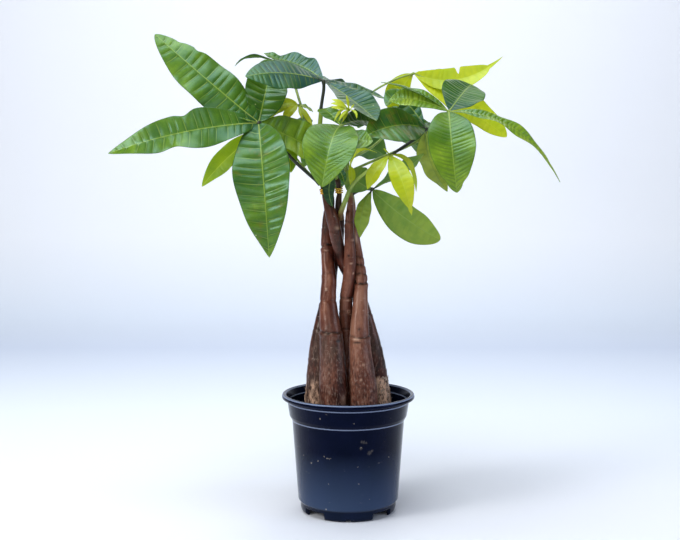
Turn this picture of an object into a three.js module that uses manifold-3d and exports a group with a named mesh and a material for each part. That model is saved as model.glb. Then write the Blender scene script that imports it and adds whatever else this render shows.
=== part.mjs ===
// Potted money tree: five braided trunks with palmate leaves, in a round nursery pot.
// Millimetres, +Z up, the front faces -Y. The origin is on the pot's underside, on its axis.
import * as THREE from "three";
import { mergeVertices } from "three/addons/utils/BufferGeometryUtils.js";
import Module from "manifold-3d";

const wasm = await Module();
wasm.setup();

// The pot, a 6.5 inch nursery pot: radii at the rim, band, body and foot, and their heights
const POT_HEIGHT = 147;
const POT_WALL = 1.5;
const RIM_RADIUS = 82.5;
const LIP_HEIGHT = 6;
const BAND_TOP_RADIUS = 75.5;
const BAND_BOTTOM_RADIUS = 73;
const BAND_TOP = POT_HEIGHT - 10;
const BAND_BOTTOM = POT_HEIGHT - 27;
const BODY_TOP_RADIUS = 69.5;
const BODY_BOTTOM_RADIUS = 62.2;
const BODY_TOP = POT_HEIGHT - 34;
const FOOT_RADIUS = 59.5;
const FOOT_WIDTH = 5;
const FOOT_HEIGHT = 10;
const FLOOR_TOP = FOOT_HEIGHT + 2;
const BODY_BOTTOM = FLOOR_TOP + 3;
const POT_SIDES = 40;

// The foot ring's gaps and notches, the flat pad in the middle and the drain holes
const FOOT_COUNT = 4;
const FOOT_GAP = { halfAngle: THREE.MathUtils.degToRad(15), height: FOOT_HEIGHT - 1 };
const FOOT_NOTCH = { halfAngle: THREE.MathUtils.degToRad(3), height: 3 };
const PAD_RADIUS = 12;
const DRAIN_RADIUS = 4;
const DRAIN_CIRCLE_RADIUS = 46;

// The soil, and the clearance between pieces that touch
const SOIL_EDGE_HEIGHT = 124;
const SOIL_MOUND = 4;
const SOIL_FLAT_RADIUS = 45;
const GAP = 0.3;

// Sections, steps and thicknesses of trunks, stalks and blades
const TRUNK_SIDES = 10;
const STALK_SIDES = 5;
const STALK_STEPS = 2;
const STALK_RADIUS = { mature: 1.7, young: 1.3 };
const KNOB_SWELL = 1.6;
const BLADE_THICKNESS = 0.8;
const BLADE_STEP_LENGTH = 17;
const BLADE_ROOT_OFFSET = 1.4;
const BLADE_ROOT_HALF_WIDTH = 1.1;
const BLADE_TIP_HALF_WIDTH = 0.45;
const BLADE_TAIL_WIDTH = 0.09;
const BLADE_STEP_SHIFT = 0.25;
const TWIST_FROM = 0.25;
const TWIST_TO = 0.75;
const WAVES = 2.75;

// Wire of the ties
const WIRE_RADIUS = 0.8;
const WIRE_PITCH = 2.2;
const WIRE_STEPS_PER_TURN = 10;

const LOOKS = {
  pot: { color: 0x1b2233, roughness: 0.42, metalness: 0 },
  soil: { color: 0x2e211a, roughness: 0.95, metalness: 0 },
  bark: { color: 0x6b4a3a, roughness: 0.8, metalness: 0 },
  tie: { color: 0xd9a636, roughness: 0.3, metalness: 0.9 },
  mature: { color: 0x3c7a34, roughness: 0.4, metalness: 0 },
  young: { color: 0xa9bf2c, roughness: 0.45, metalness: 0 },
};

// Each trunk from its foot in the soil to the end of its green shoot: [x, y, z, radius]
const TRUNKS = {
  trunk_left_front: [
    [-15, -17, 72, 13], [-17, -17, 118, 17.6], [-18.5, -15, 160, 17], [-20.6, -10, 212, 15],
    [-25, -2, 262, 9.8], [-23.5, 1.5, 287, 9.3], [-25.5, 8.5, 312, 7.8], [-26.5, 13, 336, 7.4],
    [-25, 12, 361, 7], [-22.5, 11, 386, 5.5], [-24, 11, 402, 4], [-32, 9, 432, 3],
    [-35, 5, 468, 2.8], [-33, 2, 497, 2.6],
  ],
  trunk_right_front: [
    [18, -17, 72, 14], [20, -18, 118, 18.2], [17.5, -14, 165, 16.3], [14, -9, 212, 13],
    [15, -2, 262, 9], [16, 2, 287, 7.4], [13, 9, 312, 6.3], [9.5, 10, 336, 5.3],
    [6, 13, 361, 4.8], [4, 15, 386, 4.2], [0, 18, 412, 3.2], [-2, 24, 438, 3], [-4, 30, 462, 2.8],
  ],
  trunk_back: [
    [1, 26, 72, 12], [1, 25, 118, 15], [-1, 20, 165, 13], [-2, 14, 212, 10],
    [-3, 7, 262, 7.7], [0.3, 0.5, 287, 7.8], [2, -3, 312, 7.6], [1.5, -4, 336, 6],
    [1.2, -3, 361, 5.3], [2.7, -2, 386, 3.6], [2, 0, 404, 3], [-4, 2, 430, 2.9],
    [-8, -2, 450, 2.8], [-9, -8, 464, 2.5],
  ],
  trunk_right_back: [
    [38, 15, 72, 13], [40, 15, 118, 15.6], [37, 14, 165, 13], [28.5, 12, 212, 10.5],
    [14, 18, 262, 9], [4, 19.5, 287, 8.2], [-7.5, 11, 312, 7.6], [-14, -1, 336, 7.7],
    [-19, -5, 361, 7.8], [-23.5, -6, 376, 6.4], [-28, -6.3, 387, 3.6], [-30.5, -6.5, 393, 1.8],
    [-32, -6.7, 400, 1.7], [-34, -7, 408, 2],
  ],
  trunk_left_back: [
    [-37, 13, 72, 13], [-39, 12, 118, 15.6], [-38, 11, 165, 14], [-35, 13, 212, 11],
    [-26, 17.5, 262, 8.4], [-22, 20, 287, 7.9], [-18, 22.5, 312, 6.8], [-12, 18, 336, 6.4],
    [-10.5, 6.5, 361, 5.6], [-12, 3, 384, 3.8], [-11, 2, 393, 2.9], [-12, 1, 403, 2.9],
    [-13, 0, 409, 3.4], [-13.5, 0, 414, 2],
  ],
};

// Gold wire ties on two of the braid's tops: the coil's middle, the way it leans and its radius
const TIES = {
  tie_left: { centre: [-31.3, -6.6, 396.5], lean: [-1.5, -0.2, 7], radius: 2.9, turns: 3 },
  tie_middle: { centre: [-11.5, 1.5, 398], lean: [-1, -1, 10], radius: 4.2, turns: 3 },
};

// Each leaf: the trunk it grows from, its stalk from hub to root, the way its upper side faces,
// and for each leaflet the middle of its rib, its tip and its width
const LEAVES = {
  leaf_left_front: {
    kind: "mature",
    trunk: "trunk_right_back",
    stalk: [[-106, -45, 477], [-87, -40, 456], [-62, -28, 430], [-35, -8, 405, 1.6]],
    face: [0, -0.75, 0.66],
    thick: 2.1,
    blades: [
      { mid: [-165, -38, 526], tip: [-232, -15, 584], width: 55,
        face: [-0.25, -0.75, 0.6], peak: 0.48, full: 0.65, blunt: 2.5, fold: -6 },
      { mid: [-192, -62, 465], tip: [-285, -40, 441], width: 50,
        face: [-0.05, -0.93, 0.35], peak: 0.42, fold: 8 },
      { mid: [-97, -84, 398], tip: [-92, -78, 320], width: 69, face: [0, -0.95, 0.3], peak: 0.37 },
      { mid: [-58, -34, 455], tip: [-17, -14, 434], width: 58, peak: 0.45 },
      { mid: [-99, -12, 521], tip: [-94, 22, 558], width: 52, face: [0, -0.8, 0.6], peak: 0.45, full: 0.65 },
      { mid: [-122, -50, 481], tip: [-137, -46, 488], width: 5 },
    ],
  },
  leaf_top: {
    kind: "mature",
    trunk: "trunk_left_front",
    stalk: [[-30, 0, 530], [-30, 1, 520], [-32, 1, 507], [-34, 2, 493]],
    face: [0, -0.5, 0.86],
    thick: 2.0,
    blades: [
      { mid: [-76, -34, 536], tip: [-120, -60, 529], width: 48,
        face: [-0.1, -0.84, 0.54], peak: 0.55, full: 0.8, lean: -0.06, fold: -3, wave: 0.02 },
      { mid: [3, -26, 506], tip: [32, -62, 478], width: 50, face: [0.3, -0.6, 0.74], peak: 0.6, wave: 0.03 },
      { mid: [6, 22, 523], tip: [47, 26, 511], width: 24, face: [0.3, -0.4, 0.86] },
      { mid: [-19, 48, 533], tip: [11, 96, 523], width: 36 },
      { mid: [-60, 28, 552], tip: [-97, 48, 564], width: 40, face: [-0.1, -0.5, 0.86] },
    ],
  },
  leaf_centre: {
    kind: "mature",
    trunk: "trunk_back",
    stalk: [[-9, -48, 473], [-9, -36, 457], [-4, -16, 437], [-1, 1, 418]],
    face: [0, -0.5, 0.86],
    blades: [
      { mid: [-20, -104, 451], tip: [-30, -126, 401], width: 64,
        face: [0, -0.75, 0.66], peak: 0.54, full: 0.75, wave: 0.03 },
      { mid: [5, -78, 458], tip: [27, -94, 453], width: 42,
        face: [0.1, -0.8, 0.6], full: 0.7, lean: 0.3, wave: 0.02 },
      { mid: [-22, -34, 488], tip: [-33, -16, 495], width: 27 },
      { mid: [16, -24, 480], tip: [44, -8, 474], width: 38, face: [0, -0.75, 0.66] },
    ],
  },
  leaf_right: {
    kind: "mature",
    trunk: "trunk_back",
    stalk: [[94, -10, 472], [75, -12, 456], [53, -14, 441], [24, -10, 419], [2, 0, 401]],
    face: [0, -0.6, 0.8],
    thick: 2.0,
    blades: [
      { mid: [58, -40, 474], tip: [20, -62, 461], width: 56,
        face: [-0.15, -0.88, 0.45], full: 0.7, lean: -0.12, wave: 0.03 },
      { mid: [76, 26, 489], tip: [56, 54, 504], width: 24 },
      { mid: [66, 6, 507], tip: [46, -8, 499], width: 34, face: [-0.2, -0.7, 0.68] },
      { mid: [100, 0, 435], tip: [122, 4, 396], width: 40, face: [0.3, 0.6, 0.74] },
      { mid: [115, 36, 476], tip: [134, 74, 465], width: 34, face: [0.1, 0, 1] },
      { mid: [87, 34, 478], tip: [87, 66, 470], width: 32, face: [0, 0, 1] },
    ],
  },
  leaf_far_right: {
    kind: "mature",
    trunk: "trunk_right_front",
    stalk: [[118, -45, 490], [110, -20, 479], [96, 12, 464], [69, 20, 450], [40, 24, 438], [-1, 20, 420]],
    face: [0, -0.6, 0.8],
    blades: [
      { mid: [79, -42, 504], tip: [48, -36, 503], width: 33,
        face: [-0.15, -0.7, 0.7], full: 0.7, wave: 0.03 },
      { mid: [136, -12, 512], tip: [152, 22, 528], width: 54,
        face: [0.25, -0.5, 0.83], peak: 0.58, full: 0.65, fold: 8, wave: 0.015 },
      { mid: [191, -62, 469], tip: [247, -60, 407], width: 20,
        face: [0.38, -0.64, 0.67], peak: 0.5, full: 0.9, tail: 0.1, wave: 0.1 },
      { mid: [118, -84, 444], tip: [124, -84, 395], width: 56,
        face: [0, -0.92, 0.4], peak: 0.4, full: 0.7, blunt: 1.5, fold: 10, wave: 0.02 },
      { mid: [76, -40, 514], tip: [38, -36, 525], width: 9, face: [0, -0.3, 0.95], wave: 0 },
    ],
  },
  leaf_young_top: {
    kind: "young",
    trunk: "trunk_right_front",
    stalk: [[83, 50, 545], [59, 50, 537], [28, 46, 519], [6, 38, 491], [-4, 30, 460]],
    face: [0, -0.5, 0.86],
    blades: [
      { mid: [140, 46, 537], tip: [194, 40, 565], width: 33,
        face: [0, -0.9, 0.44], peak: 0.52, full: 0.5, tail: 0.16, wave: 0.02 },
      { mid: [141, 40, 506], tip: [198, 30, 464], width: 45,
        face: [0.2, -0.85, 0.5], full: 0.62, wave: 0.03 },
      { mid: [69, 72, 521], tip: [77, 80, 492], width: 44, face: [-0.1, -0.95, 0.3], full: 0.7 },
      { mid: [115, 96, 549], tip: [132, 132, 540], width: 30, face: [0, 0, 1] },
    ],
  },
  leaf_low_right: {
    kind: "mature",
    trunk: "trunk_back",
    stalk: [[29, -12, 399], [19, -6, 399], [11, -2, 396], [3, -1, 392]],
    face: [0.2, 0.6, 0.75],
    blades: [
      { mid: [65, -34, 367], tip: [109, -44, 339], width: 46,
        face: [0.2, 0.92, 0.3], full: 0.55, blunt: 3.5, lean: -0.25, wave: 0.02 },
      { mid: [64, -14, 420], tip: [91, -22, 442], width: 30, face: [-0.3, 0.5, 0.8] },
      { mid: [17, -14, 371], tip: [14, -12, 340], width: 22, face: [0.5, 0.8, 0.2] },
      { mid: [12, -16, 408], tip: [-3, -16, 421], width: 38, face: [-0.3, 0.8, 0.5] },
    ],
  },
  leaf_young_shoot: {
    kind: "young",
    trunk: "trunk_left_back",
    stalk: [
      [48, -60, 439], [36, -50, 430, 1.6], [23, -40, 421, 1.8], [4, -27, 403, 2.3],
      [-3, -20, 387, 3], [-9, -8, 371, 3.3], [-10, 4, 364, 3.3],
    ],
    face: [0, -0.8, 0.6],
    blades: [
      { mid: [32, -84, 421], tip: [21, -86, 399], width: 18, face: [-0.3, -0.9, 0.3] },
      { mid: [61, -92, 406], tip: [72, -88, 369], width: 26, face: [0, -0.95, 0.3], peak: 0.48, tail: 0.08 },
      { mid: [71, -48, 429], tip: [80, -44, 396], width: 10, face: [0.6, -0.7, 0.3] },
      { mid: [44, -66, 443], tip: [40, -70, 446], width: 4 },
      { mid: [4, -28, 415], tip: [1, -28, 428], width: 9, from: [2, -26, 400] },
      { mid: [11, -34, 444], tip: [34, -38, 442], width: 7, from: [2, -28, 423], tail: 0.15 },
    ],
  },
  spray_top: {
    kind: "young",
    trunk: "trunk_back",
    stalk: [[0, -58, 491], [-3, -46, 488], [-8, -32, 481], [-9, -20, 470], [-8, -6, 456]],
    face: [0, -0.8, 0.6],
    blades: [
      { mid: [-10, -62, 499], tip: [-20, -60, 503], width: 6, wave: 0 },
      { mid: [-10, -65, 496], tip: [-21, -66, 498], width: 6, wave: 0 },
      { mid: [-10, -68, 492], tip: [-21, -72, 493], width: 6, wave: 0 },
      { mid: [-9, -66, 489], tip: [-17, -66, 477], width: 4, wave: 0 },
      { mid: [-6, -68, 486], tip: [-12, -70, 477], width: 4, wave: 0 },
      { mid: [-3, -62, 485], tip: [-7, -60, 477], width: 3.5, wave: 0 },
      { mid: [7, -66, 488], tip: [9, -70, 480], width: 3.5, wave: 0 },
      { mid: [-1, -64, 499], tip: [-3, -66, 507], width: 3.5, wave: 0 },
      { mid: [3, -64, 493], tip: [6, -68, 497], width: 3, wave: 0 },
    ],
  },
  leaf_young_left: {
    kind: "young",
    trunk: "trunk_right_back",
    stalk: [[-94, 8, 479], [-79, 8, 457], [-54, 4, 425], [-33, -7, 404]],
    face: [0, -0.7, 0.7],
    blades: [
      { mid: [-143, 6, 442], tip: [-180, 4, 402], width: 29, face: [-0.2, -0.9, 0.3], wave: 0.03 },
      { mid: [-76, -4, 449], tip: [-70, -6, 419], width: 24, face: [0.1, -0.95, 0.2] },
      { mid: [-109, 44, 496], tip: [-124, 84, 504], width: 26, face: [0, -0.2, 1] },
      { mid: [-81, 44, 484], tip: [-72, 78, 481], width: 26, face: [0, -0.2, 1] },
    ],
  },
  spray_left: {
    kind: "young",
    trunk: "trunk_left_front",
    stalk: [[-61, 10, 502], [-56, 10, 491], [-48, 10, 474], [-41, 9, 456], [-34, 7, 441]],
    face: [0, -0.8, 0.6],
    blades: [
      { mid: [-79, 4, 501], tip: [-96, -6, 484], width: 20, face: [-0.2, -0.8, 0.5], full: 0.7 },
      { mid: [-70, -4, 494], tip: [-79, -10, 481], width: 13, face: [-0.1, -0.9, 0.4] },
      { mid: [-53, 2, 491], tip: [-43, -6, 474], width: 7, wave: 0 },
      { mid: [-59, 2, 493], tip: [-56, -4, 484], width: 4, wave: 0 },
      { mid: [-52, 24, 500], tip: [-44, 36, 496], width: 12 },
    ],
  },
  leaf_thin_top: {
    kind: "mature",
    trunk: "trunk_left_front",
    stalk: [[-76, 78, 551], [-68, 70, 531], [-62, 58, 512], [-53, 40, 486], [-42, 20, 465], [-34, 6, 452]],
    face: [0, -0.5, 0.86],
    blades: [
      { mid: [-119, 76, 569], tip: [-145, 70, 556], width: 10, face: [0, 0.3, 0.95] },
      { mid: [-93, 84, 567], tip: [-109, 90, 575], width: 18 },
      { mid: [-56, 112, 553], tip: [-44, 140, 543], width: 22, face: [0, 0, 1] },
      { mid: [-90, 116, 554], tip: [-105, 148, 547], width: 24, face: [0, 0, 1] },
    ],
  },
  leaf_small_hanging: {
    kind: "mature",
    trunk: "trunk_left_back",
    stalk: [[-13, -32, 424], [-14, -18, 420], [-15, -2, 413]],
    face: [0, -0.9, 0.4],
    blades: [
      { mid: [-23, -36, 402], tip: [-19, -26, 378], width: 15, face: [0.2, -0.95, 0.2], full: 0.7 },
      { mid: [-8, -40, 416], tip: [-5, -42, 406], width: 10, face: [0, -0.95, 0.2] },
    ],
  },
  leaf_back_left: {
    kind: "mature",
    trunk: "trunk_left_front",
    stalk: [[-81, 88, 479], [-70, 78, 463], [-53, 52, 441], [-36, 24, 422], [-28, 10, 414]],
    face: [0, 0.3, 0.95],
    blades: [
      { mid: [-134, 108, 503], tip: [-178, 120, 510], width: 44 },
      { mid: [-116, 140, 492], tip: [-141, 178, 470], width: 46 },
      { mid: [-70, 142, 490], tip: [-63, 188, 468], width: 44 },
      { mid: [-113, 96, 450], tip: [-121, 98, 411], width: 36, face: [-0.3, 0.6, 0.7] },
    ],
  },
  leaf_back_right: {
    kind: "mature",
    trunk: "trunk_right_front",
    stalk: [[58, 92, 484], [47, 78, 468], [28, 56, 451], [-2, 24, 435]],
    face: [0, 0.3, 0.95],
    blades: [
      { mid: [89, 122, 482], tip: [118, 150, 470], width: 42 },
      { mid: [66, 142, 495], tip: [74, 186, 476], width: 48 },
      { mid: [30, 130, 494], tip: [15, 166, 483], width: 40 },
      { mid: [81, 86, 463], tip: [120, 84, 437], width: 40, face: [0.2, 0.5, 0.8] },
    ],
  },
  leaf_back_centre: {
    kind: "mature",
    trunk: "trunk_right_front",
    stalk: [[-10, 86, 450], [-8, 66, 437], [-3, 40, 423], [0, 18, 414]],
    face: [0, 0.5, 0.85],
    blades: [
      { mid: [-39, 112, 451], tip: [-59, 126, 428], width: 38, face: [-0.3, 0.5, 0.8] },
      { mid: [-12, 134, 438], tip: [-13, 158, 395], width: 42, face: [0, -0.7, 0.7] },
      { mid: [23, 104, 455], tip: [51, 104, 442], width: 48, face: [0.1, 0.8, 0.6] },
    ],
  },
};

const vector = ([x, y, z]) => new THREE.Vector3(x, y, z);

function facetedGeometry(points, faces) {
  const geometry = new THREE.BufferGeometry();
  const positions = points.flatMap((point) => point.toArray());
  geometry.setAttribute("position", new THREE.Float32BufferAttribute(positions, 3));
  geometry.setIndex(faces);
  return geometry;
}

// A geometry as a solid: only positions are kept, equal points merged and flat triangles dropped
function solid(geometry) {
  const bare = geometry.clone();
  bare.deleteAttribute("normal");
  bare.deleteAttribute("uv");
  const merged = mergeVertices(bare, 1e-3);
  const index = merged.index.array;
  const triangles = [];
  for (let at = 0; at < index.length; at += 3) {
    const [a, b, c] = index.slice(at, at + 3);
    if (a !== b && b !== c && c !== a) triangles.push(a, b, c);
  }
  return new wasm.Manifold(new wasm.Mesh({
    numProp: 3,
    vertProperties: new Float32Array(merged.attributes.position.array),
    triVerts: new Uint32Array(triangles),
  }));
}

// A body turned from a profile of [radius, height] points
function turnedBody(profile) {
  const points = profile.map(([radius, height]) => new THREE.Vector2(radius, height));
  const lathe = new THREE.LatheGeometry(points, POT_SIDES);
  lathe.rotateX(Math.PI / 2);
  return solid(lathe);
}

// An upright cylinder between two heights
function uprightCylinder(radius, sides, x, y, bottom, top) {
  const cylinder = new THREE.CylinderGeometry(radius, radius, top - bottom, sides);
  cylinder.rotateX(Math.PI / 2);
  cylinder.translate(x, y, (bottom + top) / 2);
  return solid(cylinder);
}

// A round bar along a smooth curve through stations of [x, y, z, radius], made larger by grow
function taperedBar(stations, sides, stepsPerStation, grow = 0) {
  const curve = new THREE.CatmullRomCurve3(stations.map(vector), false, "centripetal");
  const steps = (stations.length - 1) * stepsPerStation;
  const points = [];
  const faces = [];
  let across = new THREE.Vector3(1, 0, 0);
  for (let step = 0; step <= steps; step++) {
    const centre = curve.getPoint(step / steps);
    const tangent = curve.getTangent(step / steps);
    across = across.clone().addScaledVector(tangent, -across.dot(tangent)).normalize();
    const upright = new THREE.Vector3().crossVectors(tangent, across);
    const station = Math.min(Math.floor(step / stepsPerStation), stations.length - 2);
    const between = step / stepsPerStation - station;
    const radius = THREE.MathUtils.lerp(stations[station][3], stations[station + 1][3], between) + grow;
    if (step === 0) centre.addScaledVector(tangent, -grow);
    if (step === steps) centre.addScaledVector(tangent, grow);
    for (let side = 0; side < sides; side++) {
      const angle = (2 * Math.PI * side) / sides;
      const point = centre.clone();
      point.addScaledVector(across, radius * Math.cos(angle));
      point.addScaledVector(upright, radius * Math.sin(angle));
      points.push(point);
    }
  }
  for (let step = 0; step < steps; step++) {
    for (let side = 0; side < sides; side++) {
      const a = step * sides + side;
      const b = step * sides + ((side + 1) % sides);
      faces.push(a, b, b + sides, a, b + sides, a + sides);
    }
  }
  const last = steps * sides;
  for (let side = 1; side + 1 < sides; side++) {
    faces.push(0, side + 1, side, last, last + side, last + side + 1);
  }
  return solid(facetedGeometry(points, faces));
}

// Half a blade's width at a share of its length: widest at its peak, and drawn out over its tail
function halfWidth(along, { width, peak = 0.55, full = 0.85, tail = 0, blunt = 0 }) {
  const grown = Math.min(along / (1 - tail), 1);
  const swell = Math.sin(Math.PI * grown ** (Math.log(0.5) / Math.log(peak))) ** full;
  const drawn = tail > 0 ? BLADE_TAIL_WIDTH * width * Math.min((1 - along) / tail, 1) : 0;
  const least = along < 0.5 ? BLADE_ROOT_HALF_WIDTH : BLADE_TIP_HALF_WIDTH + blunt + drawn;
  return { swell, half: Math.max((width / 2) * swell, least) };
}

// One leaflet: a thin blade bent along its rib from the hub to its tip, folded up at the rib,
// with waved edges and a keel below. Both faces are split into triangles alike.
function leaflet(start, blade, leafFace) {
  const { mid, tip, width, twist = 0, fold = 14, wave = 0.05, lean = 0 } = blade;
  const face = vector(blade.face ?? leafFace);
  const bend = vector(mid).multiplyScalar(2).sub(vector(start).add(vector(tip)).multiplyScalar(0.5));
  const root = vector(start).add(bend.clone().sub(vector(start)).setLength(BLADE_ROOT_OFFSET));
  const rib = new THREE.QuadraticBezierCurve3(root, bend, vector(tip));
  const steps = THREE.MathUtils.clamp(Math.round(rib.getLength() / BLADE_STEP_LENGTH), 4, 11);
  const foldAngle = THREE.MathUtils.degToRad(fold);
  const columns = [-1, 0, 1];
  const top = [];
  const bottom = [];
  for (let step = 0; step <= steps; step++) {
    const even = step / steps;
    const along = even + BLADE_STEP_SHIFT * even * (1 - even);
    const centre = rib.getPoint(along);
    const tangent = rib.getTangent(along);
    const turned = THREE.MathUtils.smoothstep(along, TWIST_FROM, TWIST_TO);
    const turn = THREE.MathUtils.degToRad(twist * turned);
    const across = new THREE.Vector3().crossVectors(tangent, face.clone().applyAxisAngle(tangent, turn));
    across.normalize();
    const up = new THREE.Vector3().crossVectors(across, tangent);
    const { swell, half } = halfWidth(along, blade);
    const keel = Math.min(0.03 * width, 1.2) * (1 - 0.7 * along);
    for (const column of columns) {
      const side = half * (1 + lean * column);
      const ripple = wave * width * swell * Math.sin(2 * Math.PI * WAVES * along + 1.4 * column);
      const lift = column === 0 ? 0 : side * Math.sin(foldAngle) + ripple;
      const middle = centre.clone().addScaledVector(across, column * side * Math.cos(foldAngle));
      middle.addScaledVector(up, lift);
      const depth = BLADE_THICKNESS / 2 + (column === 0 ? keel : 0);
      top.push(middle.clone().addScaledVector(up, BLADE_THICKNESS / 2));
      bottom.push(middle.clone().addScaledVector(up, -depth));
    }
  }
  const faces = [];
  const quad = (a, b, c, d) => faces.push(a, c, b, a, d, c);
  const below = top.length;
  for (let step = 0; step < steps; step++) {
    const row = 3 * step;
    for (const at of [row, row + 1]) {
      quad(at, at + 3, at + 4, at + 1);
      faces.push(below + at, below + at + 3, below + at + 4);
      faces.push(below + at, below + at + 4, below + at + 1);
    }
    quad(row, below + row, below + row + 3, row + 3);
    quad(row + 5, below + row + 5, below + row + 2, row + 2);
  }
  const end = 3 * steps;
  for (const at of [0, 1]) {
    quad(at + 1, below + at + 1, below + at, at);
    quad(end + at, below + end + at, below + end + at + 1, end + at + 1);
  }
  return solid(facetedGeometry([...top, ...bottom], faces));
}

// A wedge of the foot ring to cut away, up to a height
function footCut(middleAngle, { halfAngle, height }) {
  const wedge = new THREE.Shape();
  wedge.moveTo(0, 0);
  for (const angle of [middleAngle - halfAngle, middleAngle + halfAngle]) {
    wedge.lineTo(RIM_RADIUS * Math.cos(angle), RIM_RADIUS * Math.sin(angle));
  }
  const block = new THREE.ExtrudeGeometry(wedge, { depth: height + 1, bevelEnabled: false });
  block.translate(0, 0, -1);
  return solid(block);
}

// Pot: a thin shell with a rolled lip, a band, a floor with drain holes and a notched foot ring
function potBody() {
  const lipBottom = POT_HEIGHT - LIP_HEIGHT;
  const outside = [
    [0, FOOT_HEIGHT], [FOOT_RADIUS - FOOT_WIDTH, FOOT_HEIGHT], [FOOT_RADIUS - FOOT_WIDTH, 0],
    [FOOT_RADIUS - 3, 0], [FOOT_RADIUS - 0.8, 2.2], [FOOT_RADIUS, 6], [FOOT_RADIUS, FLOOR_TOP],
    [BODY_BOTTOM_RADIUS, BODY_BOTTOM], [BODY_TOP_RADIUS, BODY_TOP], [BODY_TOP_RADIUS + 0.9, BODY_TOP + 2],
    [BAND_BOTTOM_RADIUS, BAND_BOTTOM], [BAND_TOP_RADIUS, BAND_TOP], [BAND_TOP_RADIUS + 1, lipBottom],
    [RIM_RADIUS - 0.6, lipBottom], [RIM_RADIUS, lipBottom + 2], [RIM_RADIUS - 1, POT_HEIGHT - 0.8],
    [RIM_RADIUS - 3, POT_HEIGHT], [RIM_RADIUS - 5, POT_HEIGHT - 0.6],
  ];
  const inside = [
    [BAND_TOP_RADIUS - POT_WALL, BAND_TOP], [BAND_BOTTOM_RADIUS - POT_WALL, BAND_BOTTOM],
    [BODY_TOP_RADIUS - POT_WALL, BODY_TOP], [BODY_BOTTOM_RADIUS - POT_WALL, BODY_BOTTOM],
    [FOOT_RADIUS - 2, FLOOR_TOP], [0, FLOOR_TOP],
  ];
  let body = turnedBody([...outside, ...inside]);
  for (let foot = 0; foot < FOOT_COUNT; foot++) {
    const front = -Math.PI / 2 + (2 * Math.PI * foot) / FOOT_COUNT;
    const beside = front + Math.PI / FOOT_COUNT;
    const [x, y] = [DRAIN_CIRCLE_RADIUS * Math.cos(beside), DRAIN_CIRCLE_RADIUS * Math.sin(beside)];
    body = body.subtract(footCut(front, FOOT_NOTCH));
    body = body.subtract(footCut(beside, FOOT_GAP));
    body = body.subtract(uprightCylinder(DRAIN_RADIUS, 12, x, y, FOOT_HEIGHT - 1, FLOOR_TOP + 1));
  }
  return body.add(uprightCylinder(PAD_RADIUS, 24, 0, 0, 0, FOOT_HEIGHT + 1));
}

// Soil: fills the pot to below the rim, with a low mound and a plain hole for each trunk
function soilBody() {
  const clear = POT_WALL + GAP + 0.05;
  let body = turnedBody([
    [0, FLOOR_TOP + GAP], [FOOT_RADIUS - 2 - GAP, FLOOR_TOP + GAP],
    [BODY_BOTTOM_RADIUS - clear, BODY_BOTTOM], [BODY_TOP_RADIUS - clear, BODY_TOP],
    [BAND_BOTTOM_RADIUS - clear, BAND_BOTTOM], [BAND_BOTTOM_RADIUS - clear, SOIL_EDGE_HEIGHT],
    [SOIL_FLAT_RADIUS, SOIL_EDGE_HEIGHT + SOIL_MOUND], [0, SOIL_EDGE_HEIGHT + SOIL_MOUND],
  ]);
  for (const stations of Object.values(TRUNKS)) {
    body = body.subtract(taperedBar(stations, TRUNK_SIDES, 1, GAP));
  }
  return body;
}

// A wire tie: a few close turns of wire around a trunk's top
function wireTie({ centre, lean, radius, turns }) {
  const stations = [];
  for (let step = 0; step <= turns * WIRE_STEPS_PER_TURN; step++) {
    const turned = step / WIRE_STEPS_PER_TURN;
    const point = new THREE.Vector3(radius, 0, (turned - turns / 2) * WIRE_PITCH);
    point.applyAxisAngle(new THREE.Vector3(0, 0, 1), 2 * Math.PI * turned);
    point.applyQuaternion(
      new THREE.Quaternion().setFromUnitVectors(new THREE.Vector3(0, 0, 1), vector(lean).normalize()),
    );
    stations.push([...point.add(vector(centre)).toArray(), WIRE_RADIUS]);
  }
  return taperedBar(stations, 4, 1);
}

// A leaf: its stalk, a knob where the leaflets meet and the leaflets, cut clear of its trunk
function leafBody({ kind, trunk, stalk, face, blades, thick = STALK_RADIUS[kind] }) {
  const [hub] = stalk;
  const stations = stalk.map(([x, y, z, radius = thick]) => [x, y, z, radius]);
  const knob = new THREE.SphereGeometry(KNOB_SWELL * thick, 6, 4);
  knob.translate(...hub);
  let body = taperedBar(stations, STALK_SIDES, STALK_STEPS).add(solid(knob));
  for (const blade of blades) {
    body = body.add(leaflet(blade.from ?? hub, blade, face));
  }
  return body.subtract(taperedBar(TRUNKS[trunk], TRUNK_SIDES, 1, GAP));
}

const part = new THREE.Group();

function addNode(name, body, look) {
  const mesh = body.getMesh();
  const geometry = new THREE.BufferGeometry();
  geometry.setAttribute("position", new THREE.BufferAttribute(mesh.vertProperties, 3));
  geometry.setIndex(new THREE.BufferAttribute(mesh.triVerts, 1));
  geometry.computeVertexNormals();
  const node = new THREE.Mesh(geometry, new THREE.MeshStandardMaterial(LOOKS[look]));
  node.name = name;
  part.add(node);
}

addNode("pot", potBody(), "pot");
addNode("soil", soilBody(), "soil");
for (const [name, stations] of Object.entries(TRUNKS)) {
  addNode(name, taperedBar(stations, TRUNK_SIDES, 1), "bark");
}
for (const [name, tie] of Object.entries(TIES)) {
  addNode(name, wireTie(tie), "tie");
}
for (const [name, leaf] of Object.entries(LEAVES)) {
  addNode(name, leafBody(leaf), leaf.kind);
}

export default part;
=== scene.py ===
"""Potted money tree: five braided trunks with palmate leaves on long stalks, in a black nursery pot.
Sizes and places are in millimetres, but in metres inside materials and in the studio."""
import math

import bpy
import numpy as np
from mathutils import Matrix, Vector, noise


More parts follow.
